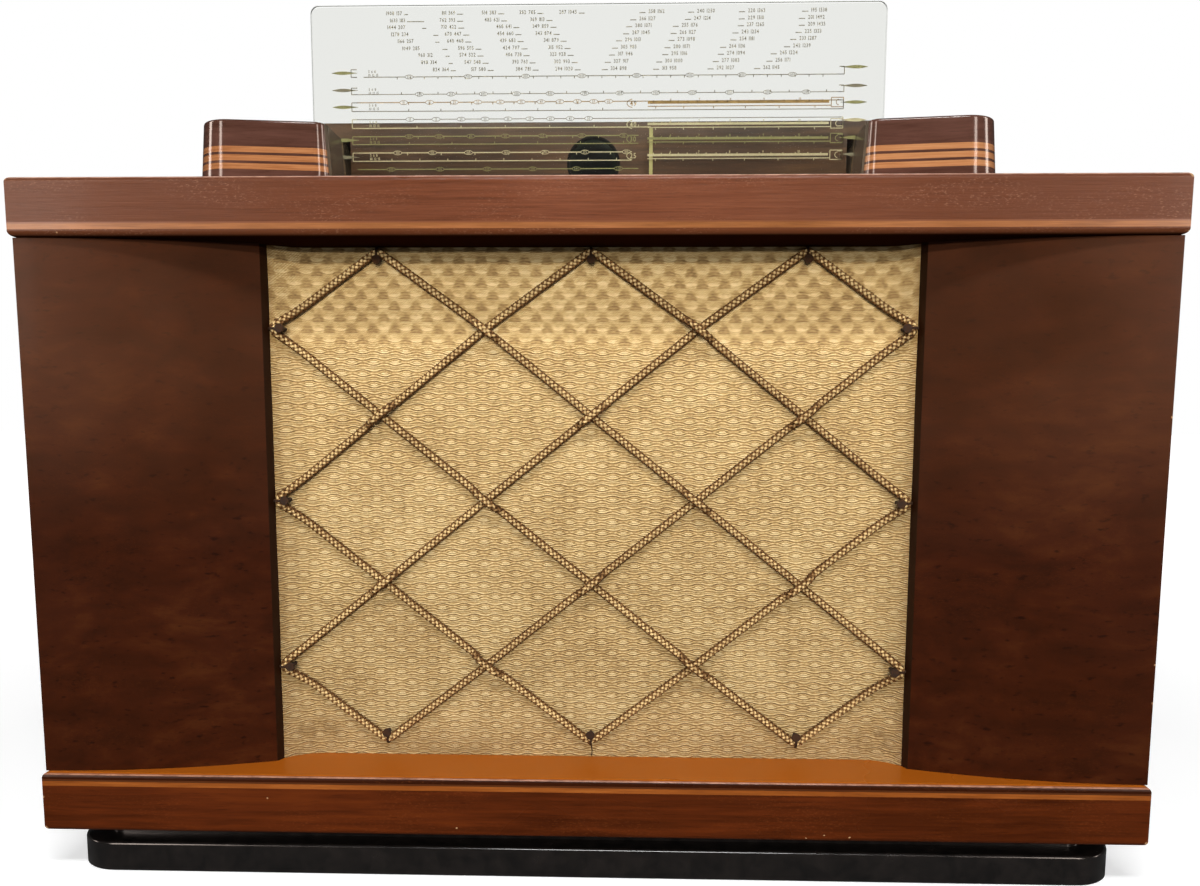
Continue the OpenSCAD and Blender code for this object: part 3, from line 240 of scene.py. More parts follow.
def veneer(name, colours, grain, gloss, figure=1.0, pores=0.5, painted_top_sheen=None, worn=(), seed=0.0,
           banding=None, painted_top_light=None, ripple=0.0, shine=0.5, coat=0.15, painted_inner_light_and_shade=None,
           edge_wear_and_highlight=(), crackle=None, ends=None):
    """Polished wood veneer: four colours from dark to light follow streaks that run grain
    millimetres along X, Y and Z and wander by figure, between darker pores.
    gloss is the roughness of the polish, shine its specular level, ripple the cross figure.
    painted_top_sheen (low, high, weight): a paler, greyer tone that grows from one height up to
    the other, a painted sheen as where more light falls higher up.
    worn lists (place, radius) of spots where the polish has chipped to bare wood.
    banding (low, high, hex): upright faces carry a strip of that colour at those heights.
    painted_top_light is the colour painted on upward faces, as painted light from the lamps above.
    painted_inner_light_and_shade (hex, middle, half, front): what lies less than half from the
    middle and behind the front has that colour, as painted shade on the columns' returns and
    painted light on the pods' inner sides.
    edge_wear_and_highlight lists (low, high, hex, amount): heights where an edge is painted pale,
    brokenly, partly as wear and partly as a painted highlight.
    crackle is the colour of fine flecks where the polish has crazed.
    ends (low, high, weight): the darkest colour gains that weight away from the middle, as painted
    shade towards the ends.
    Faces that look down are painted dark as shade, and are dull."""
    material, node = new_finish(name)
    wander = node("VectorMath.SUBTRACT", cloud(node, (70, 70, 70), W=seed)["Color"],
                  (0.5, 0.5, 0.5))
    wander = node("VectorMath.SCALE", {0: wander, "Scale": 0.9 * figure})
    place = node("VectorMath.ADD", stretched(node, grain), wander)
    streak = node("TexNoise", {"Vector": place, "Scale": 1.0, "Detail": 6.0,
                               "Roughness": 0.62, "W": seed}, noise_dimensions="4D")
    fine = cloud(node, [0.22 * v for v in grain], 3.0, W=seed + 3.0)
    blotch = cloud(node, (120, 120, 90), 3.0, W=seed + 7.0)
    tone = node("Math.MULTIPLY_ADD", blotch, 0.38, node("Math.MULTIPLY", streak, 0.62))
    colour = node("ValToRGB", tone, stops=list(zip((0.34, 0.46, 0.54, 0.68), colours)))
    pore = node("MapRange", fine, 0.60, 0.72, 0.0, pores)
    colour = node("Mix", {0: pore, 6: colour, 7: colours[0]}, data_type="RGBA",
                  blend_type="MULTIPLY")[2]
    x, y, z = node("SeparateXYZ", stretched(node, (1, 1, 1)))
    facing = node("SeparateXYZ", node("NewGeometry")["Normal"])[2]
    # Painted shade on faces that look down.
    below = node("MapRange", facing, -0.6, -0.9)
    layers = []
    # Painted sheen: paler and greyer up the face, as where more light falls.
    if painted_top_sheen:
        low, high, weight = painted_top_sheen
        dull = node("MapRange", z, low, high, 0.0, weight)
        patch = node("MapRange", blotch, 0.35, 0.65, 0.55, 1.0)
        layers.append((node("Math.MULTIPLY", dull, patch), "#6e4830"))
    if banding:
        low, high, code = banding
        upright = node("MapRange", node("Math.ABSOLUTE", facing), 0.75, 0.6, 0.0, 0.85)
        layers.append((node("Math.MULTIPLY", strip(node, z, low, high), upright), code))
    # Painted inner light and shade: one colour on inner sides behind the front.
    if painted_inner_light_and_shade:
        code, middle, half, front = painted_inner_light_and_shade
        aside = node("Math.ABSOLUTE", node("Math.SUBTRACT", x, middle))
        aside = node("MapRange", aside, half + 0.2, half - 0.2)
        behind = node("MapRange", y, front - 0.2, front + 0.2)
        layers.append((node("Math.MULTIPLY", aside, behind), code))
    # Painted shade towards the ends.
    if ends:
        low, high, weight = ends
        layers.append((node("MapRange", node("Math.ABSOLUTE", x), low, high, 0.0, weight),
                       colours[0]))
    # Painted light on faces that look up.
    if painted_top_light:
        layers.append((node("MapRange", facing, 0.8, 0.95, 0.0, 0.8), painted_top_light))
    if worn:
        ragged, bare = cloud(node, (2.2, 2.2, 2.2), 3.0), 0.0
        for spot, radius in worn:
            far = node("VectorMath.DISTANCE", node("TexCoord")["Object"],
                       tuple(v * MM for v in spot))[1]
            reach = node("Math.MULTIPLY", ragged, 1.7 * radius * MM)
            chip = node("MapRange", node("Math.SUBTRACT", reach, far), 0.0, 0.15 * radius * MM)
            bare = node("Math.MAXIMUM", chip, bare)
        layers.append((bare, "#a07c58"))
    # Broken pale edge lines: wear and a painted highlight.
    for low, high, code, amount in edge_wear_and_highlight:
        patch = node("MapRange", cloud(node, (9, 9, 3), 5.0, 0.7), 0.36, 0.60, 0.30, amount)
        layers.append((node("Math.MULTIPLY", strip(node, z, low, high), patch), code))
    if crackle:
        speck = node("MapRange", cloud(node, (1.6, 1.6, 0.55)), 0.56, 0.72, 0.0, 0.2)
        crazed = node("MapRange", cloud(node, (75, 75, 20), 1.0), 0.44, 0.62)
        layers.append((node("Math.MULTIPLY", speck, crazed), crackle))
    # Last, faces that look down get their painted shade.
    for weight, code in (*layers, (below, "#2a1408")):
        colour = node("Mix", {0: weight, 6: colour, 7: code}, data_type="RGBA")[2]
    height = node("Math.MULTIPLY_ADD", fine, 0.4, streak)
    node("OutputMaterial", node("BsdfPrincipled", {
        "Base Color": colour,
        "Roughness": node("MapRange", blotch, 0.3, 0.7, gloss * 0.8, gloss * 1.3),
        "Normal": node("Bump", {"Strength": 0.12 + ripple, "Distance": 0.0003,
                                "Height": height}),
        "Specular IOR Level": node("MapRange", below, 0.0, 1.0, shine, 0.0),
        "Coat Weight": node("MapRange", below, 0.0, 1.0, coat, 0.0), "Coat Roughness": 0.12}))
    return material


def plain(name, colours, size, rough, metallic=0.0, bump=0.05, coat=0.0, drawn=(1, 1, 1)):
    """Even material with a cloudy change of tone. colours are two hex values, size is the
    millimetres of the clouds, drawn stretches them as brushing or rolling does."""
    material, node = new_finish(name)
    tone = cloud(node, [size * v for v in drawn], 5.0, 0.6)
    node("OutputMaterial", node("BsdfPrincipled", {
        "Base Color": node("ValToRGB", tone, stops=list(zip((0.35, 0.65), colours))),
        "Roughness": node("MapRange", tone, 0.3, 0.7, rough * 0.8, rough * 1.25),
        "Normal": node("Bump", {"Strength": bump, "Distance": 0.0003, "Height": tone}),
        "Metallic": metallic, "Coat Weight": coat, "Coat Roughness": 0.06}))
    return material


def chips(y, *spots):
    """Places of chips at one depth y, from rows of (x, z, radius)."""
    return [((x, y, z), radius) for x, z, radius in spots]


# Walnut veneer laid along the boards and shellac polished: warm red-brown streaks, chipped
# along the front edges, where a broken pale line is partly wear and partly a painted highlight
walnut_top = veneer(
    "shellacked_walnut_top", ("#4f2915", "#643620", "#6c3c25", "#78462d"), (42, 42, 1.3), 0.33,
    figure=1.2, ripple=0.5, seed=2.0, shine=0.26, coat=0.08,
    banding=(355, 359.6, "#5a2e14"), edge_wear_and_highlight=[(386.1, 388, "#c9a08c", 0.9)], crackle="#b98c72",
    # The top board is painted darker towards its ends as painted shade.
    ends=(60, 210, 0.65),
    worn=chips(-144.6, (-309.6, 386.6, 1.5), (309.6, 386, 1.8))
    + chips(-145, (-262, 386.8, 0.7), (-120, 387, 0.8), (-156, 387, 1.0), (-98, 387, 0.7),
            (62, 387, 0.8), (140, 387, 0.7), (214, 387, 1.0), (238, 387, 0.6), (262, 387, 0.8),
            (-283, 358, 0.6), (309.6, 357, 0.9)))
# The base board's upward face is painted bright orange as painted light from above.
walnut_base = veneer(
    "shellacked_walnut_base", ("#341203", "#441b06", "#4f2008", "#602a0b"), (60, 60, 3.0), 0.28,
    # The dark strip just under the top edge is painted shade on the rounded edge.
    seed=5.0, banding=(56.4, 62, "#260d02"), painted_top_light="#b86214", shine=0.18, coat=0.0,
    edge_wear_and_highlight=[(58.8, 59.5, "#b8846a", 0.8)], crackle="#8a4a24",
    worn=chips(-144.6, (-309.4, 27.4, 1.9), (309.4, 27.6, 1.6))
    + chips(-144.8, (-309.8, 46, 0.8)) + chips(-144, (-104, 59.8, 0.8))
    + chips(-145, (-232, 59.8, 1.0), (-181, 47, 0.6), (-200, 27, 0.7), (122, 28, 0.8),
            (-74, 31, 0.7), (132, 30, 0.6), (-30, 26.6, 0.6), (146, 29, 0.6), (230, 26.6, 0.6)))
# Dark walnut veneer under old shellac, with a painted sheen that turns it paler and greyer towards
# the top
walnut_column = veneer(
    "shellacked_walnut_column", ("#250d03", "#2e1104", "#351405", "#44200a"), (28, 24, 11), 0.38,
    figure=2.8, pores=0.6, painted_top_sheen=(185, 300, 0.24), seed=11.0, shine=0.12, coat=0.03,
    # The inner returns are painted dark as painted shade.
    painted_inner_light_and_shade=("#241106", 0.0, COLUMN_IN + 0.6, -130.0), crackle="#5a2c10",
    worn=chips(-140, *((309.5, z, radius) for z, radius in (
        (262, 1.1), (232, 0.9), (205, 0.8), (181, 1.0), (128, 1.1), (106, 1.3)))))
walnut_side = veneer("satin_walnut_side", ("#2e1107", "#4a2210", "#582b14", "#6c3a1e"),
                     (60, 80, 9), 0.38, figure=1.5, seed=17.0)
# Light maple stringing under the same polish: honey colour, slightly streaked
maple_top = veneer("polished_maple_stringing_top", ("#6e3f1c", "#845028", "#8f582f", "#a5693c"),
                   (26, 26, 1.4), 0.30, figure=0.6, pores=0.15, seed=23.0,
                   banding=(362.6, 364, "#6c3c25"))
maple_base = veneer("polished_maple_stringing_base", ("#67310c", "#814313", "#8d4b18", "#a35e23"),
                    (26, 26, 1.4), 0.30, figure=0.6, pores=0.15, seed=23.0,
                    # The dark top strip carries the base board's painted shade across the
                    # stringing.
                    banding=(55.3, 58, "#381705"))
# Pods of walnut and maple layers under a thick clear polish: mirror-like with faint streaks,
# and paler on the inner sides, which the light from the glass reaches
INNER_SIDE = (DIAL_X, POD_IN + 3.6, -119.0)
pod_wood = veneer("high_gloss_walnut_pod", ("#3c2319", "#4c3026", "#54362c", "#5e3f34"),
                  (30, 30, 3), 0.12, figure=0.8, pores=0.25, seed=29.0,
                  painted_inner_light_and_shade=("#5a4e40", *INNER_SIDE))
pod_light = veneer("high_gloss_maple_pod", ("#7c4a26", "#95603a", "#a26c44", "#b07c52"),
                   (24, 24, 1.0), 0.12, figure=0.5, pores=0.2, seed=31.0,
                   painted_inner_light_and_shade=("#605242", *INNER_SIDE))
# Wood stained dark without polish, and bare birch plywood: dull, with a soft grain
stained_wood = veneer("stained_wood_housing", ("#2a1a0e", "#402a18", "#4c331c", "#5a3e24"),
                      (50, 50, 3), 0.42, figure=0.8, seed=37.0)
birch_ply = veneer("bare_birch_plywood", ("#8f6f47", "#a5845a", "#b1926a", "#c4a77f"),
                   (60, 60, 4), 0.62, seed=41.0)
# Black lacquer on wood: deep gloss with dust
black_lacquer = plain("black_lacquer", ("#0d0b0a", "#191513"), 9, 0.22, coat=0.5)
# Pressed board and paper: dull, with a felted surface
hardboard = plain("pressed_hardboard", ("#4a3526", "#69503b"), 1.2, 0.72, bump=0.4)
black_paper = plain("pressed_paper_cone", ("#221f1d", "#34302c"), 1.6, 0.85, bump=0.3)
# Bare metals: soft reflections, drawn out along the marks of turning or drawing
zinc_steel = plain("zinc_plated_steel", ("#a9aaa8", "#8b8d8b"), 5, 0.38, metallic=1.0)
turned_steel = plain("turned_steel", ("#bdb9ac", "#98948a"), 2, 0.3, metallic=1.0,
                     drawn=(0.2, 6, 6))
bright_can = plain("drawn_aluminium", ("#c3c5c6", "#a8abac"), 3, 0.32, metallic=1.0,
                   drawn=(1, 1, 12))
yellow_brass = plain("dull_brass", ("#a58a4d", "#7f6a3a"), 3, 0.36, metallic=1.0)
bulb_coat = plain("metallised_valve", ("#3e3d39", "#5a5851"), 8, 0.3, metallic=0.6)
# Painted metal: an even colour with a soft gloss, in thin lines where plates are stacked
dark_steel = plain("painted_laminations", ("#2b2e31", "#3e4246"), 3, 0.5, drawn=(6, 6, 0.3))
grey_paint = plain("grey_stoved_paint", ("#6a6f73", "#7a7f82"), 6, 0.4, bump=0.15)
pointer_paint = plain("pale_yellow_paint", ("#96905c", "#a29c68"), 3, 0.4)
# Opal glass, resins and rubber: even colour, from glossy to dull
lamp_white = plain("opal_lamp", ("#d5cdb9", "#e2dccb"), 6, 0.3)
resin_paper = plain("resin_bonded_paper", ("#6c4f2d", "#86633b"), 4, 0.45)
brown_resin = plain("moulded_brown_resin", ("#2a140c", "#3b1e12"), 14, 0.22, coat=0.3)
black_rubber = plain("black_rubber", ("#161514", "#222020"), 2, 0.7, bump=0.2)
# Flock, browned iron, waxed thread and dirty cotton: dark and dull
eye_velvet = plain("black_flocked_eye_rim", ("#040303", "#0b0908"), 2, 0.95)
browned_iron = plain("browned_black_nail", ("#241409", "#3c2514"), 2, 0.85)
brown_thread = plain("waxed_brown_thread", ("#241409", "#452b17"), 0.6, 0.85, bump=0.4)
cord_heart = plain("dirty_cord_heart", ("#4a3018", "#5e4022"), 2, 0.8)
# Screen inks on the glass: flat colours with a slight gloss
cream_ink = plain("cream_dial_ink", ("#a09878", "#aca484"), 2, 0.5)
beige_ink = plain("beige_dial_ink", ("#645e4c", "#6f6955"), 2, 0.5)
olive_ink = plain("olive_dial_ink", ("#6c6a40", "#79774a"), 2, 0.5)
brown_ink = plain("brown_dial_ink", ("#7c6234", "#8a6f3e"), 2, 0.5)


def gold_cord():
    """Braided cord of old gold cotton, soiled: each yarn is painted bright where it lies outermost
    and faces the front, as painted light, which the mesh's own fleck value tells,
    and painted brown where it dips under its neighbour, as painted shade."""
    material, node = new_finish("soiled_and_shaded_gold_cord")
    fleck = node("Attribute", attribute_name="fleck")["Fac"]
    fibre, soil = cloud(node, (1.1, 1.1, 1.1), 4.0, 0.7), cloud(node, (24, 24, 24))
    tone = node("Math.MULTIPLY_ADD", soil, 0.5, node("Math.MULTIPLY_ADD", fibre, 1.3, fleck))
    node("OutputMaterial", node("BsdfPrincipled", {
        "Base Color": node("ValToRGB", node("MapRange", tone, 0.65, 2.0), stops=[
            (0.0, "#3f280f"), (0.36, "#664424"), (0.64, "#957146"), (0.97, "#e2c288")]),
        "Normal": node("Bump", {"Strength": 0.5, "Distance": 0.0002, "Height": fibre}),
        "Roughness": 0.62, "Specular IOR Level": 0.2}))
    return material


def woven_cloth():
    """Jacquard grille cloth: horizontal ribs that part round outlined lenses 12.5 mm apart, in
    staggered rows 6.45 mm apart, with a browner dome between two lenses of a row. The phase
    of the ribs is the height off the row, less a bell round each lens that fades out at the
    next row. Under the top board, where the light comes in flat, the colour is painted as
    that light shows the weave: twill and darker domes show and the ribs hardly do. The whole
    cloth is painted darker towards the bottom and into the top board's shadow, as painted
    shade. Ribs and twill are drawn 1.8 and 1.45 mm apart, coarser than the real yarns, so
    that they show."""
    material, node = new_finish("jacquard_grille_cloth")
    wide, row_high, pitch, twill_pitch = 12.5, 6.45, 1.8, 1.45
    bell_high, bell_narrow, lens_wide, lens_high = 2.7, -13.0, 3.5, 1.75
    dome_wide, dome_high, dome_foot = 3.7, 5.6, 2.9
    x, _, high = node("SeparateXYZ", stretched(node, (1, 1, 1)))
    z = node("Math.MULTIPLY_ADD", cloud(node, (80, 80, 60), 1.0, 0.65), 4.0, high)
    row = node("Math.FLOOR", node("Math.DIVIDE", z, row_high))
    up = node("Math.MULTIPLY_ADD", row, -row_high, node("Math.SUBTRACT", z, row_high / 2))
    odd = node("Math.MULTIPLY", node("Math.FLOORED_MODULO", row, 2.0), 0.5)
    side = node("Math.FRACT", node("Math.MULTIPLY_ADD", x, 1 / wide, odd))
    side = node("Math.SUBTRACT", side, 0.5)
    side_squared, far = node("Math.MULTIPLY", side, side), node("Math.ABSOLUTE", up)
    # Painted light: under the top board the weave is coloured as flat light shows it.
    shaded = node("MapRange", high, 296.0, 306.0)

    bell = node("Math.EXPONENT", node("Math.MULTIPLY", side_squared, bell_narrow))
    fade = node("Math.MULTIPLY_ADD", far, -1.6 * bell_high / row_high, bell_high)
    reach = node("Math.MULTIPLY_ADD", bell, node("Math.MULTIPLY", fade, -1.0), far)
    phase = node("Math.MULTIPLY", node("Math.ADD", reach, 0.4), 2 * pi / pitch)
    ribs = node("Math.COSINE", phase)
    upper_lip = node("Math.MULTIPLY", node("MapRange", reach, 0.2, -0.6),
                     node("MapRange", up, 0.6, -0.6))

    between = node("Math.MULTIPLY_ADD", node("Math.ABSOLUTE", side), -wide / dome_wide,
                   wide / (2 * dome_wide))
    rise = node("Math.MULTIPLY_ADD", up, 1 / dome_high, dome_foot / dome_high)
    crown = node("Math.MULTIPLY", rise, node("Math.ABSOLUTE", rise))
    crown = node("Math.SQRT", node("Math.MULTIPLY_ADD", between, between, crown))
    dome = node("Math.MULTIPLY", node("MapRange", crown, 1.05, 0.80),
                node("MapRange", rise, -0.03, 0.05))

    tall = node("Math.DIVIDE", up, lens_high)
    oval = node("Math.MULTIPLY", side_squared, (wide / lens_wide) ** 2)
    oval = node("Math.SQRT", node("Math.MULTIPLY_ADD", tall, tall, oval))
    outline = node("Math.ABSOLUTE", node("Math.SUBTRACT", oval, 1.0))
    outline = node("Math.MULTIPLY", node("MapRange", outline, 0.42, 0.1),
                   node("Math.SUBTRACT", 1.0, shaded))

    twill = node("Math.MULTIPLY", node("Math.SUBTRACT", x, z), 2 * pi / twill_pitch)
    twill = node("Math.SINE", twill)
    fuzz = cloud(node, (1.8, 1.8, 0.8), 3.0, 0.65)
    soil = cloud(node, (55, 55, 55), 3.0, 0.65)
    tint = cloud(node, (9, 9, 9), 3.0, 0.65)

    tone = 0.57
    for pattern, in_light, in_shade in (
            (ribs, 0.17, 0.05),
            (node("Math.MULTIPLY", twill, node("Math.SUBTRACT", 1.0, dome)), 0.02, 0.09),
            (outline, -0.17, -0.17), (upper_lip, 0.16, 0.16), (dome, -0.06, -0.17)):
        weight = node("MapRange", shaded, 0.0, 1.0, in_light, in_shade)
        tone = node("Math.MULTIPLY_ADD", pattern, weight, tone)
    for noise, weight in ((fuzz, 0.65), (soil, 0.3), (tint, 0.25)):
        tone = node("Math.MULTIPLY_ADD", node("Math.SUBTRACT", noise, 0.5), weight, tone)
    colour = node("ValToRGB", tone, stops=[
        (0.20, "#7e5f38"), (0.38, "#aa8753"), (0.55, "#cda96d"), (0.78, "#f2d59d")])

    # Darker in patches along the bottom; along the sides, partly stain and partly painted shade of
    # the coves; right by the columns, painted shade in the corner; brown stains at the lower
    # corners.
    aside = node("Math.ABSOLUTE", x)
    sill = node("MapRange", high, FLOOR_Z + 24, FLOOR_Z + 1, 0.0, 0.55)
    edge = node("MapRange", aside, 158.0, 183.0, 0.0, 0.45)
    stain_and_shade = node("Math.MULTIPLY", node("Math.MAXIMUM", sill, edge),
                 node("MapRange", soil, 0.38, 0.62))
    painted_corner_shade = node("MapRange", aside, COLUMN_IN - 7.0, COLUMN_IN - 2.0, 0.0, 0.6)
    stain_and_shade = node("Math.MAXIMUM", stain_and_shade, painted_corner_shade)
    blot_x, blot_z, blot_size = 165, 72, (15, 40, 9)
    for turn in (-1, 1):
        away = node("VectorMath.DISTANCE", stretched(node, blot_size),
                    tuple(np.array([turn * blot_x, CLOTH_Y, blot_z]) / blot_size))[1]
        blot = node("Math.MULTIPLY", node("MapRange", away, 1.7, 0.6, 0.0, 0.75),
                    node("MapRange", tint, 0.36, 0.62))
        stain_and_shade = node("Math.MAXIMUM", stain_and_shade, blot)
    colour = node("Mix", {0: stain_and_shade, 6: colour, 7: "#8a6838"}, data_type="RGBA")[2]
    # Painted shade: darker towards the bottom, under the top board, and most just below it.
    painted_shade_scale = node("MapRange", high, 40.0, 300.0, 0.70, 1.00)
    painted_shade_scale = node("Math.MULTIPLY_ADD", shaded, -0.07, painted_shade_scale)
    painted_shade_scale = node("Math.SUBTRACT", painted_shade_scale, node("MapRange", high, 336.0, 350.0, 0.0, 0.24))
    colour = node("VectorMath.SCALE", {0: colour, "Scale": painted_shade_scale})

    height = node("Math.MULTIPLY", ribs, node("MapRange", shaded, 0.0, 1.0, 0.19, 0.04))
    height = node("Math.MULTIPLY_ADD", outline, -0.16, height)
    height = node("Math.MULTIPLY_ADD", fuzz, 0.16, height)
    height = node("Math.MULTIPLY_ADD", twill,
                  node("MapRange", shaded, 0.0, 1.0, 0.02, 0.05), height)
    node("OutputMaterial", node("BsdfPrincipled", {
        "Base Color": colour, "Roughness": 0.78, "Sheen Weight": 0.2, "Sheen Roughness": 0.4,
        "Normal": node("Bump", {"Strength": 1.0, "Distance": MM, "Height": height})}))
    return material


def clear_glass(name, tint):
    """Plate glass with polished faces. A ray from a lamp goes straight through it."""
    material, node = new_finish(name)
    smear = node("MapRange", cloud(node, (40, 40, 25), 4.0), 0.35, 0.75, 0.0, 0.03)
    glass = node("BsdfPrincipled", {"Base Color": tint, "Roughness": smear, "IOR": 1.5,
                                    "Transmission Weight": 1.0})
    node("OutputMaterial", node("MixShader", node("LightPath")["Is Shadow Ray"], glass,
                                node("BsdfTransparent", tint)))
    return material


def eye_screen():
    """Tuning eye that is off: near-black glass, green by a trace away from its middle."""
    material, node = new_finish("tuning_eye_glass")
    far = node("VectorMath.DISTANCE", node("TexCoord")["Object"],
               (0.0, EYE_FRONT * MM, EYE_Z * MM))[1]
    colour = node("ValToRGB", node("MapRange", far, 4 * MM, 12.5 * MM),
                  stops=[(0.0, "#040404"), (0.8, "#080b08"), (1.0, "#10160f")])
    node("OutputMaterial", node("BsdfPrincipled", {"Base Color": colour, "Roughness": 0.45,
                                                   "IOR": 1.25}))
    return material


cord_yarn, grille_weave = gold_cord(), woven_cloth()
dial_plate, eye_glass = clear_glass("dial_plate_glass", "#f1f2ee"), eye_screen()

for finish, nodes in (
        (walnut_base, "base_board"), (walnut_top, "top_board"), (maple_base, "base_inlay"),
        (maple_top, "top_inlay"), (walnut_side, "left_side_panel right_side_panel"),
        (black_lacquer, "plinth_spacer"), (birch_ply, "baffle_board cove_beads"),
        (hardboard, "back_panel"), (lamp_white, "dial_lamps"), (grey_paint, "speaker_basket"),
        (black_paper, "speaker_cone"), (resin_paper, "band_switch socket_strip"),
        (dark_steel, "speaker_magnet mains_transformer output_transformer"),
        (zinc_steel, "back_panel_screws pointer_rail chassis gang_frame volume_control"),
        (bulb_coat, "mixer_valve amplifier_valve output_valve rectifier_valve"),
        (bright_can, "coil_cans electrolytic_can gang_stator gang_rotor tuning_drum"),
        (yellow_brass, "glass_channel left_pulley right_pulley band_sleeve tone_sleeve"),
        (turned_steel, "tuning_shaft volume_shaft"), (pointer_paint, "pointer"),
        (black_rubber, "mains_grommet"), (browned_iron, "rope_nails")):
    for piece in (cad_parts[node] for node in nodes.split()):
        for slot in piece.material_slots:
            slot.material = finish
        if not piece.material_slots:
            piece.data.materials.append(finish)


# Plinth

def rounded_plan(half_x, half_y, radius):
    """Closed plan of a rectangle with round corners, centred, as (x, y) points."""
    turn = np.linspace(0, pi / 2, 14)
    points = []
    for k, (sx, sy) in enumerate(((1, 1), (-1, 1), (-1, -1), (1, -1))):
        a = turn + k * pi / 2
        points.append(np.stack([sx * (half_x - radius) + radius * np.cos(a),
                                sy * (half_y - radius) + radius * np.sin(a)], -1))
    return np.concatenate(points)


PLINTH_X, PLINTH_Y, PLINTH_R, PLINTH_T, PLINTH_EDGE = 299.5, 139.0, 25.0, 17.0, 1.8


def plinth():
    """Rounded board: rings of the plan, drawn in at the top edge along a quarter circle."""
    shoulder = PLINTH_T - PLINTH_EDGE
    rows = [(0, 0.6), (0.6, 0), (shoulder, 0)]
    rows += [(shoulder + PLINTH_EDGE * sin(a), PLINTH_EDGE * (1 - cos(a)))
             for a in np.linspace(0, pi / 2, 7)[1:]]
    return tower([np.insert(rounded_plan(PLINTH_X - inset, PLINTH_Y - inset, PLINTH_R - inset),
                            2, z, axis=1) for z, inset in rows])


piece = put_mesh("plinth_lacquered", *plinth(), black_lacquer, slot="black_lacquer")
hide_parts("plinth_board")


# Columns

def column_part():
    """Right-hand column: its plan is the bow, a crisp corner, and a return that slants in to
    the cloth and on to the baffle, carried up from the base board to the top board."""
    def bow(x, radius):
        """Points of a bow of that radius at x: y is its middle less the circle's height."""
        return np.stack([x, BOW_Y - np.sqrt(radius ** 2 - (HALF_W - x) ** 2)], -1)

    worn, corner_x, inner_r = 1.2, COLUMN_IN + 0.9, BOW_R - COLUMN_T
    x = HALF_W - (BOW_R * np.sin(np.linspace(worn / BOW_R, 1, 90)
                                 * np.arcsin((HALF_W - corner_x) / BOW_R)))
    corner = bow(corner_x, BOW_R)
    lip = np.array([corner + [-0.45, 0.15], corner + [-0.75, 0.6],
                    [COLUMN_IN - LIP_IN, CLOTH_Y - COVE_H + LIP_BACK], [COLUMN_IN, CLOTH_Y - 6],
                    [COLUMN_IN, COLUMN_BACK]])
    inner_end = np.arccos((BOW_Y - COLUMN_BACK) / inner_r)
    inner_x = HALF_W - inner_r * np.sin(np.linspace(inner_end, 0, 30))
    edge = np.array([[HALF_W, BOW_Y - BOW_R + worn], [HALF_W - 0.35, BOW_Y - BOW_R + 0.35]])
    plan = np.concatenate([bow(x, BOW_R), lip, bow(inner_x, inner_r), edge])[::-1]
    return carried(plan, 2, np.linspace(FLOOR_Z, CEILING_Z, 9))


right = column_part()
for side, part in (("right", right), ("left", mirrored(right))):
    piece = put_mesh(side + "_column_veneered", *part, walnut_column, slot="column_veneer")
    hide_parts(side + "_column")


# Pods

def pod_ring(inset, z):
    """Right-hand pod at one height: for each direction round the plan, the point of the four
    corner circles that lies furthest out, drawn in by inset, with a notch for the glass."""
    out_x = POD_IN + POD_W
    rear_y = POD_FRONT + POD_D - POD_REAR_R
    centres = np.array([[out_x - POD_R, POD_FRONT + POD_R],
                        [POD_IN + POD_IN_R, POD_FRONT + POD_SKEW + POD_IN_R],
                        [POD_IN + POD_REAR_R, rear_y], [out_x - POD_REAR_R, rear_y]])
    radii = np.array([POD_R, POD_IN_R, POD_REAR_R, POD_REAR_R])
    angle = np.linspace(0, 2 * pi, 181)[:-1] + 0.003
    normal = np.stack([np.cos(angle), np.sin(angle)], -1)
    best = np.argmax(normal @ centres.T + radii, 1)
    ring = centres[best] + (radii[best] - inset)[:, None] * normal
    at = int(np.where((best[:-1] == 2) & (best[1:] == 1))[0][0])
    p, q = ring[at], ring[at + 1]
    y_front, y_back, deep = GROOVE
    x_front, x_back = (p[0] + (q[0] - p[0]) * (y - p[1]) / (q[1] - p[1])
                       for y in (y_front, y_back))
    notch = [[x_back, y_back], [deep, y_back], [deep, y_front], [x_front, y_front]]
    return np.insert(np.concatenate([ring[:at + 1], notch, ring[at + 1:]]), 2, TOP_Z + z, axis=1)


def pod_layers(spans):
    """Layers of the pod between the given heights, the highest one rounded over."""
    parts = []
    for low, high in spans:
        rows = [(low, low * np.tan(POD_DRAFT))]
        if high == POD_H:
            for a in np.linspace(0, pi / 2, 8):
                z = POD_H - POD_TOP_R * (1 - sin(a))
                rows.append((z, z * np.tan(POD_DRAFT) + POD_TOP_R * (1 - cos(a))))
        else:
            rows.append((high, high * np.tan(POD_DRAFT)))
        parts.append(tower([pod_ring(inset, z) for z, inset in rows]))
    return joined(parts)


lows = [BAND_START + k * BAND_PITCH for k in range(BAND_COUNT)]
light_spans = [(z, z + BAND_H) for z in lows]
dark_spans = [(0, lows[0])] + [(lows[k] + BAND_H, lows[k + 1]) for k in range(BAND_COUNT - 1)]
dark_spans.append((lows[-1] + BAND_H, POD_H))
for spans, name, replaced, finish, slot in (
        (dark_spans, "_pod_polished", "_pod", pod_wood, "pod_veneer"),
        (light_spans, "_pod_layers", "_pod_bands", pod_light, "pod_band")):
    right = pod_layers(spans)
    for side, part in (("right", right), ("left", mirrored(right))):
        piece = put_mesh(side + name, *shifted(part, DIAL_X), finish, slot=slot)
        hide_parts(side + replaced)


# Dial glass and its print

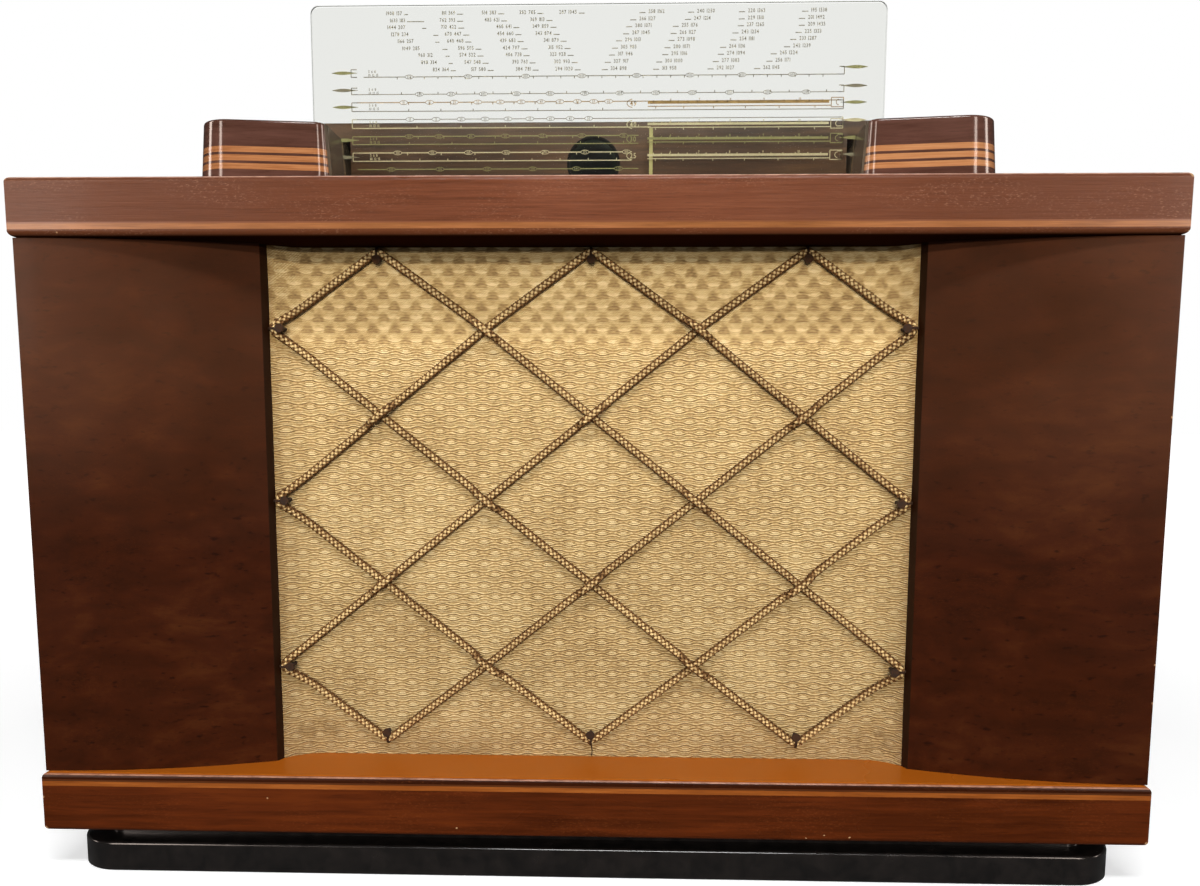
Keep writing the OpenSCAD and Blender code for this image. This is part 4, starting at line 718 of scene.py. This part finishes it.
def dial_plate_part():
    """Plate with round top corners and a small polished chamfer on both faces."""
    turn = np.linspace(0, pi / 2, 10)
    chamfer, corner = 0.5, 5.0
    x, z = GLASS_W / 2 - corner, GLASS_TOP - corner
    rings = []
    for y, inset in ((GLASS_T, chamfer), (GLASS_T - chamfer, 0), (chamfer, 0), (0, chamfer)):
        r = corner - inset
        arc = np.concatenate([
            np.stack([x + r * np.cos(turn), z + r * np.sin(turn)], -1),
            np.stack([-x - r * np.sin(turn), z + r * np.cos(turn)], -1),
            [[-x - r, GLASS_LOW + inset], [x + r, GLASS_LOW + inset]]])
        rings.append(np.insert(arc + [DIAL_X, 0], 1, GLASS_Y + y, axis=1))
    return tower(rings)


piece = put_mesh("dial_glass_plate", *dial_plate_part(), dial_plate, body="glass",
                 slot="dial_glass")
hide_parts("dial_glass")

INK_Y = GLASS_Y + GLASS_T + 0.02
INK_T = 0.05
HAIR = 0.45


def ink(plan):
    """Flat shape printed on the back of the glass: plan is its closed outline in (x, z),
    anticlockwise as seen from the front."""
    return carried(np.asarray(plan, float), 1, (INK_Y + INK_T, INK_Y))


def bar(x0, x1, z, width=HAIR):
    """Level line from x0 to x1, its middle at z."""
    h = width / 2
    return ink([(x0, z - h), (x1, z - h), (x1, z + h), (x0, z + h)])


def post(x, z0, z1, width=HAIR):
    """Upright line from z0 up to z1, its middle at x."""
    h = width / 2
    return ink([(x - h, z0), (x + h, z0), (x + h, z1), (x - h, z1)])


def band_ring(x, z, half_x, half_z, width, start=0.0, end=2 * pi):
    """Part of an oval ring as one strip: outer edge forwards, inner edge back."""
    a = np.linspace(start, end, 15)
    outer = np.stack([x + half_x * np.cos(a), z + half_z * np.sin(a)], -1)
    inner = np.stack([x + (half_x - width) * np.cos(a), z + (half_z - width) * np.sin(a)], -1)
    return ink(np.concatenate([outer, inner[::-1]]))


def spindle(x0, x1, z, width):
    """Needle mark: thickness follows a sine lobe that leans to its outer end."""
    t = np.linspace(0, 1, 17)
    half = width / 2 * (0.12 + 0.88 * np.sin(pi * t ** 0.8) ** 1.5)
    x = x0 + (x1 - x0) * t
    low, high = np.stack([x, z - half], -1), np.stack([x, z + half], -1)
    plan = np.concatenate([low, high[::-1]])
    return ink(plan if x1 > x0 else plan[::-1])


def glyph_shapes():
    """Outlines of the ten digits as thin solids, each with its width, for a height of 1."""
    shapes = {}
    for letter in "0123456789":
        curve = bpy.data.curves.new("digit", "FONT")
        curve.body, curve.resolution_u = letter, 2
        curve.extrude, curve.offset = 0.02, 0.018
        holder = bpy.data.objects.new("digit", curve)
        mesh = holder.to_mesh()
        mesh.calc_loop_triangles()
        points = np.empty(len(mesh.vertices) * 3)
        mesh.vertices.foreach_get("co", points)
        points = points.reshape(-1, 3)
        faces = np.empty(len(mesh.loop_triangles) * 3, int)
        mesh.loop_triangles.foreach_get("vertices", faces)
        tall = points[:, 1].max() - points[:, 1].min()
        points = (points - [points[:, 0].min(), points[:, 1].min(), 0]) / tall
        shapes[letter] = (points, faces.reshape(-1, 3).tolist(), points[:, 0].max())
        holder.to_mesh_clear()
        bpy.data.objects.remove(holder)
        bpy.data.curves.remove(curve)
    return shapes


DIGITS = glyph_shapes()


def number(text, x, z, height, align="left", squeeze=0.8):
    """A number on the back of the glass, read from the front, its foot at z."""
    space, between = 0.35, 0.16
    widths = [DIGITS[c][2] * squeeze if c in DIGITS else space for c in text]
    full = (sum(widths) + between * (len(text) - 1)) * height
    x -= {"left": 0.0, "middle": full / 2, "right": full}[align]
    parts = []
    for c, w in zip(text, widths):
        if c in DIGITS:
            points, faces, _ = DIGITS[c]
            flat = np.column_stack([x + points[:, 0] * squeeze * height,
                                    INK_Y + INK_T / 2 - np.sign(points[:, 2]) * INK_T / 2,
                                    z + points[:, 1] * height])
            parts.append((flat, faces))
        x += (w + between) * height
    return parts


# The print is placed by pixels across and down the view, which become millimetres on the glass
PX_X, PX_Z, AT_X, AT_Z, MM_PER_X, MM_PER_Z = 356.5, 70.0, -135.70, 457.2, 0.5704, 0.5465


def at_x(px):
    """Place across the glass of a mark, from its pixel across the view."""
    return AT_X + (px - PX_X) * MM_PER_X


def at_z(px):
    """Height of a mark on the glass, from its pixel down the view."""
    return AT_Z - (px - PX_Z) * MM_PER_Z


cream, olive, beige, brown = [], [], [], []

# Station table: nine rows of wavelengths and frequencies, each with a short dash. The right
# half mirrors the ends of the left one, whose first dash of each row is drawn by itself
ROW_PX = (15.3, 22.3, 29.0, 36.0, 42.8, 50.0, 56.8, 64.0, 71.2)
LEFT_ENDS = ((404, 457, 498, 537, 578), (407, 457, 501, 546), (407, 458, 513, 550),
             (410, 463, 515, 553), (415, 465, 517, 560), (421, 475, 521, 564),
             (434, 477, 523, 567), (438, 482, 529, 571), (450, 487, 532, 574))
LEFT_DASH = ((406, 410), (409, 426), (424, 428), (435, 440), (437, 441), (444, 449),
             (447, 451), (450, 454), (452, 457))
MIRROR_PX, COLUMN_PX, LEFT_GAP_PX, RIGHT_GAP_PX, DASH_PX = 1186, 9, 2, 3, 6
STATION_H, NUMBER_H, METRES_H = 2.1, 1.5, 3.0
# Wavelength in metres times frequency in kilohertz
LIGHT = 300000
draw = np.random.default_rng(7)
for row, (y, ends) in enumerate(zip(ROW_PX, LEFT_ENDS)):
    z = at_z(y)
    for col, end in enumerate(ends):
        metres = int(1900 / (1 + 0.16 * row + 1.35 * col) + draw.integers(-9, 9))
        beige += number(f"{metres} {LIGHT // metres}", at_x(end), z, STATION_H, "right")
        dash = end + LEFT_GAP_PX
        x0, x1 = LEFT_DASH[row] if col == 0 else (dash, dash + DASH_PX)
        beige.append(bar(at_x(x0), at_x(x1), z + 0.3))
        mirror = MIRROR_PX - end + COLUMN_PX * max(0, 3 - col)
        if not (col == 4 and row == 0):
            metres = int(190 + 22 * col + 9 * row + draw.integers(0, 9))
            beige += number(f"{metres} {LIGHT // metres}", at_x(mirror), z, STATION_H)
            dash = mirror - RIGHT_GAP_PX
            beige.append(bar(at_x(dash - DASH_PX), at_x(dash), z + 0.3))


def spread(x0=0, x1=0, count=0, bend=0.0):
    """Places of marks that crowd towards the right end, as a tuned circuit's do."""
    t = np.linspace(0, 1, count)
    return [float(x0 + (x1 - x0) * v) for v in (t + bend * t * (1 - t))]


def scale(inks, y, x0, x1, width, ovals=(), ticks=(), up=1, start=0, step=0):
    """Printed scale: a line broken by ovals with numbers in them, with ticks between. ovals
    and ticks say what spread() is given, up is 1 for ticks above the line and -1 below."""
    z, oval_px, tick_h = at_z(y), 4.2, 1.3
    stops = [x0]
    for k, px in enumerate(spread(*ovals)):
        inks.append(band_ring(at_x(px), z, 2.5, 1.25, 0.3))
        inks.extend(number(str(start + step * k), at_x(px), z - NUMBER_H / 2, NUMBER_H,
                           "middle", 0.7))
        stops += [px - oval_px, px + oval_px]
    stops.append(x1)
    for a, b in zip(stops[::2], stops[1::2]):
        inks.append(bar(at_x(a), at_x(b), z, width))
    for px in spread(*ticks):
        inks.append(post(at_x(px), *sorted((z, z + up * tick_h))))


SCALES = (
    (beige, 76.6, 364, 841, 0.45, (410, 792, 8, 0.1), (398, 822, 32), -1, 550, 150),
    (beige, 94.0, 356, 841, 0.4, (420, 806, 12, -0.1), (402, 826, 24), 1, 200, 100),
    (brown, 102.2, 356, 841, 0.5, (404, 610, 11, 0.3), (409, 600, 10), -1, 10, 5),
    (beige, 111.0, 356, 841, 0.45, (), (409, 604, 7)),
    (beige, 119.2, 356, 841, 0.4, (410, 590, 9, 0.2), (), -1, 10, 5),
    (cream, 128.0, 356, 652, 0.55, (), (417, 640, 6)),
    (olive, 136.4, 356, 640, 0.55, (409, 625, 7, -0.2), (418, 600, 8), -1, 100, 5),
    (olive, 144.4, 356, 640, 0.5, (), (409, 625, 6)),
    (cream, 153.0, 356, 633, 0.55, (397, 628, 7, -0.1), (407, 612, 7), -1, 150, 5),
    (cream, 161.4, 356, 633, 0.5, (), (391, 618, 9)),
    (olive, 169.8, 356, 640, 0.5, (390, 620, 6, 0.1), (), -1, 200, 10))
for values in SCALES:
    scale(*values)

# Short-wave scales on the right half: a heavy line over a thin one, with a box at each end
SHORT_WAVES = ((brown, 103.8, "49"), (cream, 125.0, "40"), (olive, 139.6, "30"),
               (cream, 156.4, "25"))
HEAVY_PX, THIN_PX, THIN_DOWN_PX = (649, 829), (649, 831), 3.6
HEAVY_TICKS, THIN_TICKS = (655, 822, 17, -0.25), (657, 815, 6, -0.15)
DIGITS_PX, DIGITS_UP_PX = (672, 800, 5, -0.15), 1.6
BOX_PX, BOX_ROWS, CAP_PX, METRES_PX, END_RING_PX = (831, 843), (5.2, -4.2), 636, 634.5, 838.5
for inks, y, metres in SHORT_WAVES:
    scale(inks, y, *HEAVY_PX, 1.3, (), HEAVY_TICKS)
    scale(inks, y + THIN_DOWN_PX, *THIN_PX, 0.5, (), THIN_TICKS, -1)
    z0, z1 = (at_z(y + down) for down in BOX_ROWS)
    inks.append(band_ring(at_x(CAP_PX), (z0 + z1) / 2, 4.6, 2.6, 0.4, 0.6 * pi, 1.4 * pi))
    inks.extend(number(metres, at_x(METRES_PX), (z0 + z1) / 2 - METRES_H / 2, METRES_H, "middle"))
    inks += [post(at_x(px), z0, z1) for px in BOX_PX]
    inks += [bar(*map(at_x, BOX_PX), z) for z in (z0, z1)]
    inks.append(band_ring(at_x(END_RING_PX), (z0 + z1) / 2, 1.7, 1.7, 0.4, 0.5 * pi, 1.5 * pi))
    for k, px in enumerate(spread(*DIGITS_PX)):
        inks.extend(number(str(6 + k), at_x(px), at_z(y - DIGITS_UP_PX), NUMBER_H, "middle"))

# Bracket ends, small scale names as numbers, and needle marks at both sides: ink and rows of
# a bracket, ink of its needles, and their rows on the left and the right
BRACKETS = (
    (beige, 69.0, 76.6, olive, 72.4, 69.5), (beige, 87.4, 94.0, beige, 89.7, 88.0),
    (beige, 102.2, 111.0, olive, 106.6, 104.4), (cream, 119.2, 128.0, cream, None, 122.0),
    (olive, 136.4, 144.4, olive, 140.0, 139.6), (cream, 153.0, 161.4, beige, 157.3, 156.4))
BRACKET_PX = ((351.5, 351.5, 357.5), (843, 838, 843))
LEFT_NEEDLE_PX, RIGHT_NEEDLE_PX, NEEDLE_T, NAME_PX = (332, 358), (866, 840), 1.9, 369
for inks, y0, y1, needle, left_y, right_y in BRACKETS:
    for px, left, right in BRACKET_PX:
        inks.append(post(at_x(px), at_z(y1), at_z(y0)))
        inks += [bar(at_x(left), at_x(right), at_z(y)) for y in (y0, y1)]
    for ends, y in ((LEFT_NEEDLE_PX, left_y), (RIGHT_NEEDLE_PX, right_y)):
        if y:
            needle.append(spindle(*map(at_x, ends), at_z(y), NEEDLE_T))
    for k, text in enumerate(("5 6 8", "10 12 15")):
        inks.extend(number(text, at_x(NAME_PX), at_z((y0 + y1) / 2 - 0.4 + 3.6 * k), NUMBER_H))

for name, parts, finish in (("dial_print_cream", cream, cream_ink),
                            ("dial_print_olive", olive, olive_ink),
                            ("dial_print_beige", beige, beige_ink),
                            ("dial_print_brown", brown, brown_ink)):
    put_mesh(name, *joined(parts), finish, body="glass", slot="dial_glass")


# Housing and tuning eye

def housing_shell():
    """Case open below: an outer and an inner profile in (y, z), each carried along X and
    closed by flat ends, and joined by a rim below."""
    def profile(inset):
        """Upright front, small lip, top, quarter circle behind and upright back, in (y, z)."""
        turn = np.linspace(0, pi / 2, 16)
        r, front, top = HOUSING_R - inset, HOUSING_Y + inset, TOP_Z + HOUSING_H - inset
        rear = HOUSING_Y + HOUSING_D - inset
        arc = np.stack([rear - r + r * np.sin(turn), top - r + r * np.cos(turn)], -1)
        return np.concatenate([np.linspace([front, TOP_Z], [front, top - 1], 3),
                               [[front + 0.3, top - 0.3], [front + 1, top]], arc,
                               [[rear, TOP_Z]]])

    outer, inner, inner_half = profile(0), profile(HOUSING_WALL), HOUSING_HALF - HOUSING_WALL
    points = np.concatenate([np.insert(shape, 0, x + DIAL_X, axis=1) for x, shape in (
        (-HOUSING_HALF, outer), (HOUSING_HALF, outer), (inner_half, inner),
        (-inner_half, inner))])
    n, faces = len(outer), []
    for k in range(n - 1):
        faces += [[k + n, k + 1 + n, k + 1, k],
                  [k + 3 * n, k + 1 + 3 * n, k + 1 + 2 * n, k + 2 * n]]
    for k in range(4):
        faces.append(list(range(k * n, k * n + n))[::-1 if k % 2 else 1])
    e = n - 1
    faces += [[0, 3 * n, 2 * n, n], [e, e + n, e + 2 * n, e + 3 * n],
              [0, e, e + 3 * n, 3 * n], [n, 2 * n, e + 2 * n, e + n]]
    return points, faces


def housing_shoulder():
    """Block that carries the housing's face out over the right pod: the face's profile in
    (y, z), from the pod's top up, carried along X with a flat end."""
    low, high = TOP_Z + POD_H, TOP_Z + HOUSING_H
    turn = np.linspace(0, pi / 2, 8)
    r = 6.0
    plan = np.concatenate([
        [[HOUSING_Y, low], [HOUSING_Y, high - 1], [HOUSING_Y + 0.3, high - 0.3],
         [HOUSING_Y + 1, high]],
        np.stack([SHOULDER_BACK - r + r * np.sin(turn), high - r + r * np.cos(turn)], -1),
        [[SHOULDER_BACK, low]]])
    return carried(plan, 0, (HOUSING_HALF + SHOULDER_W, HOUSING_HALF))


case, shoulder = housing_shell(), housing_shoulder()
shoulders = joined([shifted(part, DIAL_X) for part in (shoulder, mirrored(shoulder))])
piece = put_mesh("dial_housing_stained", *joined([case, shoulders]), stained_wood,
                 slot="housing_wood")
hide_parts("dial_housing")

EYE_CENTRE = (0.0, EYE_FRONT, EYE_Z)
eye_glass_part = lathe([(0, 0.01), (0.05, 6), (0.3, 10.5), (0.7, 13.0), (1.1, 13.6),
                        (EYE_L, 13.6), (EYE_L, 10.5), (EYE_L + 5, 10.5)], 72, EYE_CENTRE)
eye_rim_part = lathe([(0.9, 13.7), (0.6, 13.9), (0.6, 15.0), (0.9, 15.4), (8, 15.4), (8, 13.7)],
                     72, EYE_CENTRE)
piece = put_mesh("tuning_eye_tube", *eye_glass_part, eye_glass, slot="eye_glass")
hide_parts("tuning_eye")
put_mesh("tuning_eye_rim", *eye_rim_part, eye_velvet, slot="eye_glass")


# Grille cloth

def cloth_front(x):
    """Front of the cloth: flat, then a parabola up to each column."""
    far = np.maximum(np.abs(x) - (COLUMN_IN - COVE_W), 0)
    return CLOTH_Y - COVE_H * (far / COVE_W) ** 2


def cloth_sheet():
    """Sheet stretched over the baffle and the coves: on a grid in x and z its front is
    cloth_front(x) with waves of a tenth of a millimetre, and its back lies 0.75 mm behind."""
    flat_half = COLUMN_IN - COVE_W
    x = np.concatenate([np.linspace(-COLUMN_IN, -flat_half, 16),
                        np.linspace(3 - flat_half, flat_half - 3, 110),
                        np.linspace(flat_half, COLUMN_IN, 16)])
    z = np.linspace(FLOOR_Z + 0.05, CEILING_Z - 0.05, 105)
    gx, gz = np.meshgrid(x, z)
    slack = 0.10 * np.sin(gx / 9.1 + 1.3 * np.sin(gz / 31)) * np.sin(gz / 13.7)
    front = cloth_front(gx) + 0.12 + slack
    sheets = [np.stack([gx, y, gz], -1) for y in (front, front + 0.75)]
    rows, cols = gx.shape
    count = rows * cols
    faces = quads(rows, cols, around=False)
    rim = np.concatenate([np.arange(cols), cols * np.arange(1, rows) + cols - 1,
                          count - 2 - np.arange(cols - 1), cols * np.arange(rows - 2, 0, -1)])
    ahead = np.roll(rim, -1)
    wall = np.stack([rim, rim + count, ahead + count, ahead], -1)
    return (np.concatenate([s.reshape(-1, 3) for s in sheets]),
            np.concatenate([faces, faces[:, ::-1] + count, wall]).tolist())


piece = put_mesh("grille_cloth_woven", *cloth_sheet(), grille_weave, slot="grille_cloth")
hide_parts("grille_cloth")


# Rope lattice

def bounce(m):
    """Whole number that runs up and down between -3 and 3 as m counts on."""
    return abs(m % 12 - 6) - 3


def lattice_vertex(start, n):
    """Corner n of a loop: column and row bounce between the outer nails."""
    i, k = bounce(n + 9 + start), bounce(n)
    edge = {3: 2 * DIAMOND_Z + TOP_ROW, -3: -2 * DIAMOND_Z - BOTTOM_ROW}
    return np.array([DIAMOND_X * i, LATTICE_Z + edge.get(k, DIAMOND_Z * k)]), i, k


def rope_front(x):
    """Y of the rope's middle where it lies on the cloth, from the cloth's slope there."""
    slope = 2 * COVE_H / COVE_W ** 2 * np.maximum(np.abs(x) - (COLUMN_IN - COVE_W), 0)
    return cloth_front(x) - (ROPE_R + ROPE_GAP) * np.sqrt(1 + slope ** 2)


def nail_turn(start, n):
    """How a loop turns at corner n: where its straight runs would meet, its direction halfway
    round, the side to which it bends and half the angle; None where it only crosses."""
    p, i, k = lattice_vertex(start, n)
    if max(abs(i), abs(k)) < 3:
        return None
    u = unit(p - lattice_vertex(start, n - 1)[0])
    v = unit(lattice_vertex(start, n + 1)[0] - p)
    return p, unit(u + v), unit(v - u), np.arccos(np.clip(u @ v, -1, 1)) / 2


def loop_line(start):
    """Middle line of one closed loop at even steps: straight runs in (x, z), a round turn at
    each nail, and a smooth hump where the loop passes over another one."""
    pieces, lifts = [], []
    for n in range(CORNERS):
        turn = nail_turn(start, n)
        if turn:
            p, along, bend, half = turn
            a = np.linspace(-half, half, 25)[:, None]
            middle = p + bend * TURN_R / np.cos(half)
            pieces.append(middle - bend * TURN_R * np.cos(a) + along * TURN_R * np.sin(a))
        else:
            p, _, k = lattice_vertex(start, n)
            onward = lattice_vertex(start, n + 1)[0] - p
            pieces.append(p[None])
            if (onward[0] * onward[1] < 0) == (k % 2 == 0):
                lifts.append(p)
    line = np.concatenate(pieces)
    line = np.concatenate([line, line[:1]])
    step = np.linalg.norm(np.diff(line, axis=0), axis=1)
    s = np.concatenate([[0], np.cumsum(step)])
    count = int(round(s[-1] / BRAID_TURN)) * BRAID_STEPS
    at = np.linspace(0, s[-1], count, endpoint=False)
    flat = np.stack([np.interp(at, s, line[:, 0]), np.interp(at, s, line[:, 1])], -1)
    lift = np.zeros(count)
    for p in lifts:
        far = np.linalg.norm(flat - p, axis=1)
        t = np.clip((HUMP_FAR - far) / (HUMP_FAR - HUMP_NEAR), 0, 1)
        lift = np.maximum(lift, HUMP_H * t * t * (3 - 2 * t))
    return np.column_stack([flat[:, 0], rope_front(flat[:, 0]) - lift, flat[:, 1]])


def braid(line, hand, k):
    """One strand of a braid of eight: it winds round the middle line once in 12 mm, and its
    radius swings so that it passes over one strand of the other hand and under the next.
    Returns its points, faces and fleck values: painted light, 1 where it lies outermost and faces
    the front."""
    count, sides = len(line), 4
    t = unit(np.roll(line, -1, 0) - np.roll(line, 1, 0))
    b = unit(np.cross(t, [0, 1, 0]))
    a = np.cross(b, t)
    turn = np.arange(count) / BRAID_STEPS
    angle = hand * 2 * pi * turn + k * pi / 2 + pi / 8
    swing = hand * np.cos(8 * pi * turn)
    out = np.cos(angle)[:, None] * a + np.sin(angle)[:, None] * b
    middle = line + (STRAND_AT + STRAND_SWING * swing)[:, None] * out
    wide = unit(np.cross(unit(np.roll(middle, -1, 0) - np.roll(middle, 1, 0)), out))
    ring = np.linspace(0, 2 * pi, sides, endpoint=False)
    rings = (middle[:, None] + STRAND_THIN * np.cos(ring)[None, :, None] * out[:, None]
             + STRAND_WIDE * np.sin(ring)[None, :, None] * wide[:, None])
    # Painted light: bright only where the strand lies outermost and faces the front, dark as
    # painted shade where it dips.
    front = np.clip((-out[:, 1] - 0.4) / 0.4, 0, 1)
    fleck = (front * (0.5 + 0.5 * swing))[:, None] + 0.1 * np.cos(ring)[None, :]
    return rings.reshape(-1, 3), quads(count, sides, closed=True).tolist(), fleck.ravel()


loops = [loop_line(start) for start in LOOP_STARTS]
for name, line in zip(("rope_outer_left", "rope_middle", "rope_outer_right"), loops):
    strands = [braid(line, hand, k) for hand in (1, -1) for k in range(4)]
    piece = put_mesh(name, *joined([strand[:2] for strand in strands]), cord_yarn, slot="rope",
                     sharp=180)
    fleck = piece.data.attributes.new("fleck", "FLOAT", "POINT")
    fleck.data.foreach_set("value", np.concatenate([strand[2] for strand in strands]))
    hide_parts("rope_lattice")
put_mesh("rope_core", *tubes([line[::6] for line in loops], 1.35, 8), cord_heart, slot="rope",
         sharp=180)


def lashing(start, n):
    """Two rings of waxed thread round the rope where it turns at nail n, if there is one."""
    turn = nail_turn(start, n)
    if not turn:
        return []
    p, along, bend, half = turn
    apex = p + bend * TURN_R * (1 / np.cos(half) - 1)
    t = np.linspace(0, 2 * pi, 18, endpoint=False)
    paths = []
    for shift in (-0.55, 0.15):
        flat = apex - bend * (THREAD_AT * np.cos(t))[:, None] + along * shift
        y = np.minimum(rope_front(apex[0]) - THREAD_AT * np.sin(t),
                       cloth_front(flat[:, 0]) - 0.4)
        paths.append(np.insert(flat, 1, y, axis=1))
    return paths


knots = [path for start in LOOP_STARTS for n in range(CORNERS)
         for path in lashing(start, n)]
hanging = np.array([[0.4, rope_front(0) + 0.5, 67.5], [0.9, CLOTH_Y - 0.9, 64.0],
                    [0.5, CLOTH_Y - 0.8, 60.9]])
put_mesh("rope_lashings", *joined([tubes(knots, 0.36, 6), tubes([hanging], 0.32, 6, False)]),
         brown_thread, slot="black_nail", sharp=180)


# Knobs

def fluted_knob(radius, length, foot, axis):
    """Moulded knob: radius as a function of turn and distance along the axis, with 24 round
    flutes that fade towards the rounded face, and a shallow dish in the face."""
    flutes, edge, deep = 24, 2.0, 1.15
    turn = np.linspace(0, 2 * pi, flutes * 8, endpoint=False)
    rows = [(0, radius - 0.3, 0.6), (0.3, radius, 1.0), (length - edge, radius, 1.0)]
    rows += [(length - edge + edge * sin(v), radius - edge * (1 - cos(v)), cos(v) ** 2)
             for v in np.linspace(0, pi / 2, 7)[1:]]
    rows += [(length - 0.1, radius - edge - 1.0, 0), (length - 0.8, radius * 0.72, 0),
             (length - 1.1, radius * 0.4, 0), (length - 1.2, 0.02, 0)]
    flute = deep * np.abs(np.sin(turn * flutes / 2)) ** 0.7 - deep
    rings = []
    for along, r, fluted in rows:
        reach = r + fluted * flute * (r / radius)
        section = np.stack([CONTROL_Y + reach * np.cos(turn),
                            CONTROL_Z + reach * np.sin(turn)], -1)
        rings.append(np.insert(section, 0, foot + along, axis=1))
    part = tower(rings)
    return part if axis > 0 else mirrored(part)


for name, radius, length, foot, axis, body, replaced in (
        ("tuning_knob_moulded", 19, 17, KNOB_X, 1, "tuning", "tuning_knob"),
        ("band_knob_moulded", 24, 9, RING_X, 1, "band", "band_knob"),
        ("volume_knob_moulded", 19, 17, KNOB_X, -1, "volume", "volume_knob"),
        ("tone_knob_moulded", 24, 9, RING_X, -1, "tone", "tone_knob")):
    piece = put_mesh(name, *fluted_knob(radius, length, foot, axis), brown_resin, body=body,
                     slot="bakelite")
    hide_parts(replaced)


# Floor, lamps and camera

def white_for_view(node):
    """1 for rays that come straight from the camera or on through glass, else 0. A ray that
    has left a dull or polished face and then crosses the dial glass counts as 0."""
    path = node("LightPath")
    bounced = node("Math.ADD", path["Diffuse Depth"], path["Glossy Depth"])
    through = node("Math.MULTIPLY", path["Is Transmission Ray"],
                   node("Math.LESS_THAN", bounced, 0.5))
    return node("Math.MAXIMUM", path["Is Camera Ray"], through)


floor_finish, node = new_finish("white_paper_floor")
far = node("VectorMath.LENGTH", node("TexCoord")["Object"])[1]
level = node("Math.MULTIPLY", white_for_view(node), node("MapRange", far, 0.5, 1.6, 0.42, 1.0))
paper = node("BsdfDiffuse", node("MapRange", white_for_view(node), 0.0, 1.0, 0.12, 0.8))
glow = node("Emission", {"Color": (1, 1, 1, 1), "Strength": level})
node("OutputMaterial", node("AddShader", paper, glow))
mesh = bpy.data.meshes.new("floor")
mesh.from_pydata([(-9, -6, 0), (9, -6, 0), (9, 12, 0), (-9, 12, 0)], [], [(0, 1, 2, 3)])
mesh.materials.append(floor_finish)
floor = bpy.data.objects.new("floor", mesh)
bpy.context.scene.collection.objects.link(floor)

world = bpy.data.worlds.new("studio")
bpy.context.scene.world = world
world.use_nodes = True
world.node_tree.nodes.clear()
node = partial(add, world.node_tree)
room = node("MapRange", node("LightPath")["Glossy Depth"], 0.0, 1.0, 0.22, 0.04)
level = node("MapRange", white_for_view(node), 0.0, 1.0, room, 1.0)
node("OutputWorld", node("Background", {"Color": (1, 1, 1, 1), "Strength": level}))


def lamp(name, place, target, size, power, mirrored_too=True, lights_too=True,
         colour=(1, 1, 1)):
    """Soft rectangular lamp. mirrored_too is whether polished faces show its image, lights_too
    whether it lights dull ones."""
    light = bpy.data.lights.new(name, "AREA")
    light.shape = "RECTANGLE"
    light.size, light.size_y = size
    light.energy, light.color = power, colour
    holder = bpy.data.objects.new(name, light)
    away = Vector(place) - Vector(target)
    turned = away.to_track_quat("Z", "Y").to_matrix().to_4x4()
    holder.matrix_world = Matrix.Translation(place) @ turned
    holder.visible_glossy = holder.visible_transmission = mirrored_too
    holder.visible_diffuse = lights_too
    bpy.context.scene.collection.objects.link(holder)


# The top board's three shadow edges on the cloth give the height of each lamp
lamp("ceiling_lamp", (0.05, -1.345, 1.77), (0, 0, 0.2), (0.8, 0.25), 22)
lamp("front_lamp_low", (-0.1, -2.4, 0.514), (0, 0, 0.25), (0.7, 0.08), 21,
     mirrored_too=False)
lamp("front_lamp_high", (0.1, -2.4, 0.875), (0, 0, 0.25), (0.9, 0.08), 31, mirrored_too=False)
# Narrow side lamps draw the upright highlights on the polished pods
WARM = (1.0, 0.84, 0.74)
for side in (-1, 1):
    for name, x, y, wide in (("side_strip", 1.45, -0.3, 0.26), ("corner_strip", 1.05, -1.4, 0.24)):
        lamp(name, (side * x, y, 0.85), (side * 0.15, -0.1, 0.4), (wide, 1.0), 8.0,
             lights_too=False, colour=WARM)

EYE_POINT = Vector((0.0237, -0.7097, 0.2644))
YAW, PITCH, ROLL = radians(-1.75), radians(-6.99), radians(0.16)
forward = Vector((sin(YAW) * cos(PITCH), cos(YAW) * cos(PITCH), sin(PITCH)))
right_way = Vector((cos(YAW), -sin(YAW), 0))
up_way = right_way.cross(forward)
right_turned = cos(ROLL) * right_way + sin(ROLL) * up_way
up_turned = -sin(ROLL) * right_way + cos(ROLL) * up_way
view = bpy.data.cameras.new("view")
view.sensor_fit, view.sensor_width, view.lens = "HORIZONTAL", 36, 31.5
view.shift_x, view.shift_y = 0.0, 0.0808
view.clip_start = 0.01
camera = bpy.data.objects.new("view", view)
turned = Matrix((right_turned, up_turned, -forward)).transposed().to_4x4()
camera.matrix_world = Matrix.Translation(EYE_POINT) @ turned
bpy.context.scene.collection.objects.link(camera)
bpy.context.scene.camera = camera
bpy.context.scene.view_settings.view_transform = "Standard"
